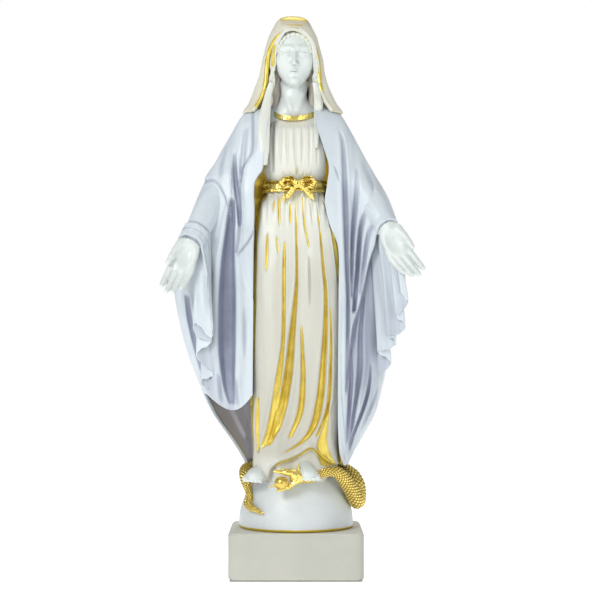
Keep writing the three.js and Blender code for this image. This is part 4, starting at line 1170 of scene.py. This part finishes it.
def hair_cap_field(p):
    """The hair over the skull and down behind the neck, open round the face."""
    f = ball(p, (0, -0.5, 4), (21, 21.5, 20))
    for side in (-1, 1):
        f = smooth_min(f, limb(p, (side * 17.5, 1, -2), (side * 18, 2, -46), 5.6, 5.2), 5)
    f = smooth_cut(f, ball(p, (0, -23, -9), (16.4, 18, 24)), 2.5)
    turn = np.arctan2(p[2] + 4, p[0])
    return f + 0.35 * np.sin(turn * 26 + 2.2 * np.sin(p[1] / 5)) * (p[1] < 4)


STRANDS, STRAND_RINGS, STRAND_AROUND = 11, 260, 10


def make_hair():
    points, quads = field_mesh(hair_cap_field, (-26, -22, -54), (26, 26, 28), 0.6)
    hollow = smooth_hollow(points, quads, 5, 1.2)
    # painted shade: darker lower down beside the neck and in the hollows
    deep = 0.12 + 0.8 * step(-4, -26, points[:, 2]) + 0.5 * hollow
    cap_mesh = make_mesh("hair_cap", points + HEAD, quads, gold=0 * hollow, shade=deep)
    finish_piece(cap_mesh, HAIR_PAINT, "veil_paint")
    for side, word in ((-1, "right"), (1, "left")):
        path = [(-1.5 + side * a, b, c) for a, b, c in (
            (4, -19.4, 485.4), (10, -17.6, 481.4), (16, -13.6, 472.6), (18.6, -10.5, 461), (19.6, -8.5, 448),
            (20.4, -8.5, 436), (22, -11, 424), (23.5, -14, 413))]
        centre = spline(path, STRAND_RINGS)
        share = np.linspace(0, 1, STRAND_RINGS)
        strands, quads, looks, base = [], [], [], 0
        for k in range(STRANDS):
            around = k * 2.4
            swing = 0.35 + 0.85 * ((k * 0.382) % 1)
            wide = mix(0.5, 1.7, step(0, 0.3, share)) * swing
            wave = 0.7 * np.sin(share * (22 + k) + k * 1.7) * step(0.25, 0.5, share)
            wave = wave + 1.3 * np.sin(share * 46 + 0.5 * k) * bump(share, 0.66, 0.12) * (side > 0)
            across, out = wide * math.cos(around) + wave, wide * math.sin(around) - 0.5 * (k % 3)
            offset = np.stack([across, out, 0 * share], axis=1)
            ends = (1 - 0.5 * step(0.9, 1, share), 0.6 + 0.4 * step(0, 0.1, share))
            radius = mix(1.15, 0.85, (k % 3) / 2) * ends[0] * ends[1]
            rows, _ = tube_points(centre + offset, radius, STRAND_AROUND)
            strands.append(rows.reshape(-1, 3))
            quads.append(grid_quads(STRAND_RINGS, STRAND_AROUND, closed=True) + base)
            base += STRAND_RINGS * STRAND_AROUND
            gilt = 0.9 if k in (2, 7) and side < 0 else 0.25
            gilt = gilt * step(0.2, 0.3, share) * step(0.55, 0.45, share)
            looks.append(np.repeat(gilt, STRAND_AROUND))
        gold = np.concatenate(looks)
        points, shade = np.vstack(strands), 0 * gold + 0.12
        obj = make_mesh(f"hair_{word}_strands", points, np.vstack(quads), gold=gold, shade=shade)
        finish_piece(obj, HAIR_PAINT, "veil_paint", f"hair_{word}")


def chest_y(x, z):
    """The front of the dress at a front-view place."""
    width = GOWN_WIDTH(z)
    gown_y = AXIS_Y - box_section(np.clip(x / width, -1, 1), width, GOWN_FRONT(z), 2.2)
    last = np.arccos(np.clip(EDGE_RIGHT(z) / MANTLE_RIGHT(z), 0, 1))
    mantle_y = AXIS_Y - MANTLE_FRONT(z) * np.sin(last) ** 0.75
    return np.where(np.abs(x) > EDGE_RIGHT(z) - 4, np.minimum(gown_y, mantle_y), gown_y)


def make_lappets():
    right = [(-22, -12.5, 438), (-24.5, -13.5, 428), (-26.5, -16.5, 416),
             (-28, float(chest_y(-26, 404)) - 1.0, 404),
             (-28.4, float(chest_y(-26, 390)) - 1.2, 390), (-28, float(chest_y(-25.5, 376)) - 1.2, 376),
             (-28, float(chest_y(-25.5, 364)) - 0.8, 362)]
    ribbon("lappet_right", right, [2.4, 3.4, 4.6, 5.4, 5.2, 4.4, 2.6], (1, 0, 0.1))
    left = [(17, -11.5, 438), (19, -13, 428), (19.5, -16, 418), (19, float(chest_y(19, 406)) - 1.0, 406),
            (18.5, float(chest_y(18.5, 392)) - 1.1, 392), (18, float(chest_y(18, 378)) - 0.9, 378)]
    ribbon("lappet_left", left, [2.4, 3.4, 3.4, 3.0, 2.4, 1.6], (1, 0, -0.1))


# ---------- head ----------
def head_field(p):
    f = ball(p, (0, 2, 5), (18.4, 21, 19.5))
    f = smooth_min(f, ball(p, (0, -6.5, -9.5), (16.6, 13.2, 19.5)), 6)
    f = smooth_min(f, ball(p, (0, -12, -25), (7.6, 7, 6.5)), 7)
    side = np.abs(p[0])
    q = [side, p[1], p[2]]
    f = smooth_min(f, ball(q, (10.6, -12.0, -6.5), (4.6, 4.8, 5.5)), 5)
    f = smooth_min(f, limb(q, (3.4, -18.6, 2.2), (11.6, -15.6, 2.8), 2.0, 1.5), 3)
    f = smooth_cut(f, ball(q, (7.2, -20.6, -2.6), (5.0, 3.6, 3.0)), 2.4)
    f = smooth_min(f, ball(q, (7.1, -15.2, -3.0), (4.5, 4.0, 4.1)), 0.7)
    lid_line = -3.9 - 0.035 * (q[0] - 7.1) ** 2
    crease = np.exp(-((p[2] - lid_line) / 0.34) ** 2) * step(4.6, 3.2, np.abs(q[0] - 7.1)) * (p[1] < -15)
    upper = np.exp(-((p[2] + 1.1 + 0.07 * (q[0] - 7.1) ** 2) / 0.4) ** 2)
    upper = upper * step(4.8, 3.4, np.abs(q[0] - 7.1)) * (p[1] < -15)
    f = f + 0.55 * crease + 0.4 * upper
    f = smooth_min(f, limb(p, (0, -18.4, 1.5), (0, -23.6, -11.6), 1.5, 2.0), 2.4)
    f = smooth_min(f, ball(q, (2.5, -20.6, -12.6), (1.7, 2.1, 1.5)), 1.2)
    f = smooth_cut(f, ball(q, (1.4, -21.6, -14.0), (0.8, 1.1, 0.7)), 0.6)
    f = smooth_min(f, limb(q, (0.6, -20.0, -17.6), (4.4, -17.6, -18.4), 1.2, 0.6), 1.0)
    f = smooth_min(f, limb(q, (0.0, -19.7, -20.6), (3.8, -17.8, -19.8), 1.35, 0.7), 1.0)
    mouth = np.exp(-((p[2] + 19.1 - 0.02 * q[0] ** 2) / 0.3) ** 2) * step(5.4, 4.2, q[0]) * (p[1] < -14)
    f = f + 0.5 * mouth
    f = smooth_min(f, ball(p, (0, -17.4, -27.2), (4, 3.2, 3.4)), 3)
    f = smooth_cut(f, ball(p, (0, -21.6, -23.6), (4.6, 1.6, 1.2)), 1.6)
    neck = limb(p, (-0.5, 4, -18), (-1.0, 2.4, -48), 11.4, 12.8)
    neck = smooth_min(neck, ball(p, (-1, 3.5, -60), (30, 15, 16)), 9)
    cord = limb(q, (11.5, 1, -26), (2.6, -11.4, -52), 1.5, 1.4)
    neck = smooth_min(neck, cord, 4)
    neck = smooth_cut(neck, ball(p, (-1, -16.4, -53), (2.2, 2.0, 2.4)), 2)
    return smooth_min(f, neck, 3)


def make_head():
    low, high = np.array([-30.0, -26.5, -66.0]), np.array([30.0, 24.0, 26.0])
    size = 0.5
    points, quads = field_mesh(head_field, low, high, size)
    hollow = smooth_hollow(points, quads, 8, 1.0)
    obj = make_mesh("head_form", points + HEAD, quads, shade=0.7 * hollow)
    finish_piece(obj, SKIN_PAINT, "skin_paint", "head")


# ---------- hands and feet ----------
# A hand in its own frame: the wrist at the origin, fingers down, palm to -Y and the thumb to +X.
FINGERS = [
    ((8.8, 0, -33), 0, (9.5, 6.5, 4.2)), ((3.0, -0.4, -35.5), 0, (10, 7, 4.6)),
    ((-2.8, -0.3, -35), 1, (9.5, 6.6, 4.4)), ((-8.6, 0.2, -31.5), 3, (8.6, 5.4, 3.8)),
]


def hand_field(p, fan):
    f = ball(p, (0.2, 0.2, -18), (10.6, 4.4, 18))
    f = smooth_min(f, ball(p, (0.6, -0.2, -28), (11.2, 3.6, 9)), 3)
    f = smooth_min(f, limb(p, (0, 0.2, 4), (0, 0.2, -7), 8.4, 7.9, (1, 1.06, 1)), 4)
    f = smooth_min(f, ball(p, (6.6, -3.0, -14), (4.6, 3.8, 9)), 3)
    f = smooth_min(f, ball(p, (-6.6, -2.4, -17), (4.0, 3.0, 11)), 3)
    thumb = [(7.2, -2.4, -9), (9.6, -4.6, -18), (10.8, -6.0, -25.5), (11.6, -7.0, -31.5)]
    f = smooth_min(f, polyline_limbs(p, thumb, [3.8, 3.2, 2.9, 2.2], 0.8), 1.6)
    f = smooth_cut(f, ball(p, (-0.6, -6.2, -21), (6.2, 3.4, 9.5)), 3.0)
    for root, aside, lengths in FINGERS:
        swing = math.radians(aside + fan)
        here = np.array(root, float)
        joints, radii = [here + (0, 0.4, 8)], [2.7]
        for k, length in enumerate(lengths):
            curl = math.radians(4 + 11 * k)
            joints.append(here.copy())
            radii.append((3.05, 2.85, 2.6)[k])
            here = here + length * np.array([math.sin(swing), -math.sin(curl), -math.cos(curl)])
        joints.append(here)
        radii.append(1.9)
        finger = polyline_limbs(p, joints, radii, 0.7)
        for joint in joints[1:4]:
            near = np.exp(-(((p[2] - joint[2]) / 0.5) ** 2)) * (np.abs(p[0] - joint[0]) < 4)
            finger = finger + 0.2 * near * (p[1] < joint[1])
        tip, before = joints[-1], joints[-2]
        nail = mix(before, tip, 0.75) + (0, 2.1, 0.4)
        finger = smooth_cut(finger, ball(p, nail + np.array([0, 1.05, 0]), (1.6, 1.1, 2.3)), 0.35)
        f = smooth_min(f, finger, 0.9)
    return f


def turn_matrix(x, y, z):
    turns = [Euler(angles).to_matrix() for angles in ((x, 0, 0), (0, y, 0), (0, 0, z))]
    return np.array(turns[0] @ turns[1] @ turns[2])


def make_hand(side):
    size = 0.45
    fan = HAND_FAN[side]
    points, quads = field_mesh(lambda p: hand_field(p, fan), (-16, -19, -63), (22, 11, 18), size)
    hollow = smooth_hollow(points, quads, 5, 1.2)
    if side == "right":
        points = points * [-1, 1, 1]
        quads = quads[:, ::-1]
    points = points @ turn_matrix(*HAND_TURN[side]).T + WRIST[side]
    obj = make_mesh(f"hand_{side}_form", points, quads, shade=0.8 * hollow)
    finish_piece(obj, SKIN_PAINT, "skin_paint", f"hand_{side}")


FEET = {"right": ((-34, -32, 90), -0.45), "left": ((9.5, -43, 92.5), 0.25)}
FOOT_SCALE = 1.18


def foot_field(p):
    """A foot in its own frame: the toes to -Y and the big toe to +X."""
    f = ball(p, (0, 6, 1), (6.4, 13, 5.2))
    f = smooth_min(f, ball(p, (0.5, -2, -0.6), (7.2, 6, 3.8)), 4)
    for k in range(5):
        across = 5.8 - 2.9 * k
        reach = -8.6 + 0.9 * abs(k - 1)
        size = 2.4 if k == 0 else 1.75 - 0.05 * k
        toe = limb(p, (across * 0.95, -2, -0.6), (across, reach, -1.6 - 0.15 * k), size * 0.9, size)
        nail = ball(p, (across, reach - 0.6, -1.6 - 0.15 * k + size + 0.3), (size * 0.62, 1.3, 0.7))
        f = smooth_min(f, smooth_cut(toe, nail, 0.3), 0.9)
    return f


def make_foot(side):
    place, turn = FEET[side]
    points, quads = field_mesh(foot_field, (-10, -15, -7), (12, 21, 8), 0.4)
    hollow = smooth_hollow(points, quads, 5, 1.2)
    if side == "right":
        points, quads = points * [-1, 1, 1], quads[:, ::-1]
    points = FOOT_SCALE * points @ turn_matrix(0.28, 0, turn).T + place
    obj = make_mesh(f"foot_{side}_form", points, quads, shade=0.8 * hollow)
    finish_piece(obj, SKIN_PAINT, "skin_paint", f"foot_{side}")


# ---------- serpent, apple, globe and block ----------
SERPENT = [
    (2, -48, 88.5), (8, -47, 88), (13, -46, 88.3), (21, -43.5, 91), (29.5, -40, 93.3), (36.5, -35, 91.5),
    (42.5, -28, 85), (48.5, -20, 75.5), (52.5, -13, 67.5), (54.5, -6, 65.2), (55.5, 1, 70), (54, 7, 79),
    (49, 14, 86), (38, 27, 90), (18, 40, 88), (-8, 43, 86), (-28, 33, 88), (-38, 20, 91), (-43.5, 6, 91),
    (-44.5, -6, 87), (-43.5, -14, 80), (-41.5, -20.5, 73.5), (-41, -24, 68.5), (-42, -26.5, 64.5),
    (-40, -30.5, 62), (-35, -37, 60), (-28.5, -42, 57),
]
SERPENT_RADIUS = curve(
    (0, 4.6), (0.03, 3.9), (0.07, 3.4), (0.12, 4.8), (0.17, 6), (0.25, 6.9), (0.45, 7), (0.62, 6.2),
    (0.76, 6.4), (0.82, 5.9), (0.86, 4), (0.885, 3), (0.91, 3.3), (0.935, 3.7), (0.96, 2.6), (0.985, 1.6),
    (1, 0.6),
)


def make_serpent():
    count, around = ((1000, 84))
    path = spline(SERPENT, count)
    share = np.linspace(0, 1, count)
    radius = SERPENT_RADIUS(share)
    rows, spoke = tube_points(path, radius, around)
    run = np.concatenate([[0], np.cumsum(np.linalg.norm(np.diff(path, axis=0), axis=1))])[:, None]
    angle = np.linspace(0, 2 * math.pi, around, endpoint=False)[None, :]
    pitch, rows_round = 3.3, 10
    a = run / pitch + rows_round * angle / (2 * math.pi)
    b = run / pitch - rows_round * angle / (2 * math.pi)
    gap = np.minimum(np.abs(a - np.round(a)), np.abs(b - np.round(b)))
    scale = step(0.03, 0.26, gap)
    toward = np.array([0, AXIS_Y, 58]) - path
    toward /= np.linalg.norm(toward, axis=1, keepdims=True)
    belly = step(0.45, 0.8, np.einsum("ijk,ik->ij", spoke, toward))
    scute = step(0.02, 0.3, np.abs(run / 3.1 - np.round(run / 3.1))) + 0 * angle
    relief = mix(0.8 * scale, 0.4 * scute, belly) * step(0, 0.03, share)[:, None]
    relief = relief * (radius / 7)[:, None] ** 0.5
    rows = rows + spoke * (relief - 0.2)[..., None]
    shade = mix(1.1 * (1 - scale), 0.6 * (1 - scute), belly)
    obj = closed_loft("serpent_body", rows, shade=shade)
    finish_piece(obj, GILDING, "gilding", "serpent")

    def head_shape(p):
        f = ball(p, (1.0, -48, 88.6), (7, 4.8, 5.2))
        upper_jaw = [(0, -48.5, 91), (-8, -50.5, 93.4), (-18, -52, 94.6)]
        lower_jaw = [(1, -48.5, 86), (-7, -50.5, 80.5), (-15.5, -51.5, 77.6)]
        upper = polyline_limbs(p, upper_jaw, [3.4, 3.1, 1.6], 2, (1, 0.8, 1.25))
        lower = polyline_limbs(p, lower_jaw, [3.2, 2.2, 1.3], 2, (1, 0.7, 1.2))
        f = smooth_min(smooth_min(f, upper, 2.5), lower, 2.5)
        f = smooth_min(f, ball(p, (-5.2, -53.2, 93.2), (2.0, 1.3, 1.5)), 1)
        f = smooth_min(f, limb(p, (-1, -50, 95.5), (-11, -52, 96.4), 1.1, 0.6), 1.2)
        f = smooth_min(f, limb(p, (3, -46.5, 92), (1.2, -46.8, 100.5), 1.8, 0.7), 1.5)
        f = smooth_min(f, limb(p, (10.5, -48, 87.4), (14.5, -47, 88.6), 2.8, 2.4), 1.5)
        f = smooth_cut(f, ball(p, (-13.5, -53.7, 95.2), (0.8, 0.7, 0.5)), 0.4)
        groove = 0.2 * np.sin(p[0] * 2.1 + 2.4 * np.sin(p[2] * 1.3)) * (p[0] > -6)
        return f + groove * 0.5

    points, quads = field_mesh(head_shape, (-22, -58, 73), (20, -40, 103), 0.4)
    skull = make_mesh("serpent_head", points, quads, shade=smooth_hollow(points, quads, 5, 1.6))
    finish_piece(skull, GILDING, "gilding")


APPLE = (-12.4, -51.5, 84.2)


def make_apple():
    x, y, z = APPLE

    def field(p):
        f = ball(p, APPLE, (6.2, 5.4, 5.9))
        f = smooth_cut(f, ball(p, (x - 0.5, y - 1, z + 6.1), (1.6, 1.6, 1.6)), 1.6)
        f = smooth_min(f, limb(p, (x - 0.5, y - 0.8, z + 4.2), (x - 1.8, y - 1.2, z + 7.6), 0.5, 0.4), 0.3)
        leaf = limb(p, (x - 5.5, y - 1.6, z - 2.2), (x - 11.5, y - 1.8, z - 2.9), 1.3, 0.35, (1, 1.8, 1.2))
        return smooth_min(f, leaf, 0.5) + 0.06 * np.sin(5 * np.arctan2(p[1] - y, p[0] - x))

    points, quads = field_mesh(field, (x - 13.5, y - 7.5, z - 8), (x + 8, y + 7, z + 9), 0.4)
    obj = make_mesh("apple_form", points, quads, shade=0.25 + smooth_hollow(points, quads))
    finish_piece(obj, APPLE_GILT, "gilding", "apple")


GLOBE_RADIUS = curve(
    (41.4, 50.7), (46, 51), (54, 50.3), (62, 48.3), (70, 45.3), (76, 42.8), (82, 40), (86, 37.2),
    (89.5, 32), (92, 24),
    (93.4, 13), (93.8, 0.6),
)


def make_globe():
    t = np.linspace(0, 1, 120)
    z = np.where(t < 0.75, mix(41.4, 86, t / 0.75), mix(86, 93.8, 1 - (1 - (t - 0.75) / 0.25) ** 2))
    angle = np.linspace(0, 2 * math.pi, 180, endpoint=False)[None, :]
    wobble = 0.22 * noise2(np.cos(angle) * 2 + 5 + 0 * z[:, None], np.sin(angle) * 2 + z[:, None] / 18, 61)
    radius = GLOBE_RADIUS(z)[:, None] + wobble - 0.9 * bump(z, 41.4, 0.7)[:, None]
    x, y = radius * np.cos(angle), AXIS_Y + radius * np.sin(angle)
    points = np.stack([x, y, z[:, None] + 0 * angle], axis=-1)
    obj = closed_loft("globe_dome", points)
    finish_piece(obj, GLOBE_PAINT, "globe_paint", "globe")


def make_block():
    half = (PLINTH_HIGH - PLINTH_LOW)[:2] / 2
    centre = (PLINTH_HIGH + PLINTH_LOW)[:2] / 2
    top, foot = PLINTH_HIGH[2], PLINTH_LOW[2]
    rings = [(foot + 0.4, 5), (foot, 4.4), (foot, 0.5), (foot + 0.3, 0.1)]
    rings += [(mix(foot + 1.2, top - 2.2, t), 0) for t in np.linspace(0, 1, 36)]
    rings += [(top - 1.6, 0.1), (top - 0.9, 0.45), (top - 0.4, 1.0), (top - 0.05, 1.9), (top, 3)]
    rings += [(top, 3 + 40 * t) for t in np.linspace(0.05, 1, 24)]
    angle = np.linspace(0, 2 * math.pi, 240, endpoint=False) + math.pi / 240
    n = 14.0
    c, s = np.cos(angle), np.sin(angle)
    square = 1 / (np.abs(c) ** n + np.abs(s) ** n) ** (1 / n)
    rows = []
    for z, inset in rings:
        wave = 0.14 * noise2(angle * 9, np.full_like(angle, z / 6), 71)
        x = centre[0] + (half[0] - inset - 0.15 + wave) * c * square
        y = centre[1] + (half[1] - inset - 0.15 + wave) * s * square
        rows.append(np.stack([x, y, np.full_like(x, z)], axis=-1))
    rows = np.array(rows)
    # painted light: the shade layer marks the top face, which the stone's upper colour lightens
    obj = closed_loft("plinth_block", rows, shade=step(top - 1.6, top - 0.2, rows[..., 2]))
    finish_piece(obj, BLOCK_STONE, "block", "plinth")


def make_fixings():
    for node, material in (("base_felt", FELT), ("tie_rod", STEEL), ("tie_nut", STEEL), ("tie_washer", STEEL),
                           ("wrist_dowel_right", BRASS), ("wrist_dowel_left", BRASS)):
        obj = bpy.data.objects[node]
        obj.data.materials.clear()
        obj.data.materials.append(material)


# ---------- build ----------
APPLE_GILT = gilded("apple_gilt", (0.84, 0.63, 0.15), (0.26, 0.14, 0.02), 0.18)
make_gown()
make_sash()
make_bow()
make_neck_band()
make_mantle()
make_recess()
for hand in ("right", "left"):
    make_sleeve(hand)
    make_hand(hand)
    make_foot(hand)
make_veil()
make_hair()
make_lappets()
make_head()
make_serpent()
make_apple()
make_globe()
make_block()


# ---------- studio ----------
def make_floor():
    count, half_width, centre_y = 60, 3000, 600
    index = np.linspace(-1, 1, count)
    u, v = np.meshgrid(index, index, indexing="ij")
    points = np.stack([u * half_width, v * half_width + centre_y, 0 * u], axis=-1)
    obj = make_mesh("floor", points, grid_quads(count, count)[:, ::-1])
    material, tree, shader = node_material("floor_card")
    g = Graph(tree)
    tone = g.blend(g.spread(g.noise(6, 3), 0.3, 0.7), (0.93, 0.93, 0.93), (0.90, 0.90, 0.90))
    g.link(tone, shader.inputs["Base Color"])
    g.link(g.spread(g.noise(40, 3), 0.3, 0.7, 0.8, 0.9), shader.inputs["Roughness"])
    g.link(tone, shader.inputs["Emission Color"])
    shader.inputs["Emission Strength"].default_value = 0.75
    obj.data.materials.append(material)


def add_light(name, place, target, size, watts, color=(1, 1, 1)):
    data = bpy.data.lights.new(name, "AREA")
    data.shape, data.size, data.energy, data.color = "DISK", size, watts, color
    obj = bpy.data.objects.new(name, data)
    obj.location = place
    obj.rotation_euler = (Vector(target) - Vector(place)).to_track_quat("-Z", "Y").to_euler()
    bpy.context.scene.collection.objects.link(obj)


def make_studio():
    make_floor()
    add_light("key", (-0.9, -1.4, 1.1), (0, 0, 0.27), 0.7, 16)
    add_light("fill", (1.2, -1.3, 0.6), (0, 0, 0.25), 1.3, 5.0)
    add_light("top", (0.1, 0.5, 1.6), (0, 0, 0.3), 1.2, 6)
    world = bpy.data.worlds.new("studio")
    bpy.context.scene.world = world
    world.use_nodes = True
    g = Graph(world.node_tree)
    seen = g.nodes.new("ShaderNodeLightPath").outputs["Is Camera Ray"]
    background = g.nodes["Background"]
    background.inputs["Color"].default_value = (1, 1, 1, 1)
    g.link(g.math("MULTIPLY_ADD", seen, 0.6, 0.40), background.inputs["Strength"])
    bpy.context.scene.view_settings.view_transform = "Standard"
    camera = bpy.data.cameras.new("camera")
    camera.lens, camera.sensor_width = 90.2, 36
    obj = bpy.data.objects.new("camera", camera)
    obj.location = (0, -1.332, 0.195)
    obj.rotation_euler = (math.radians(90 + 2.25), 0, 0)
    bpy.context.scene.collection.objects.link(obj)
    bpy.context.scene.camera = obj


make_fixings()
make_studio()
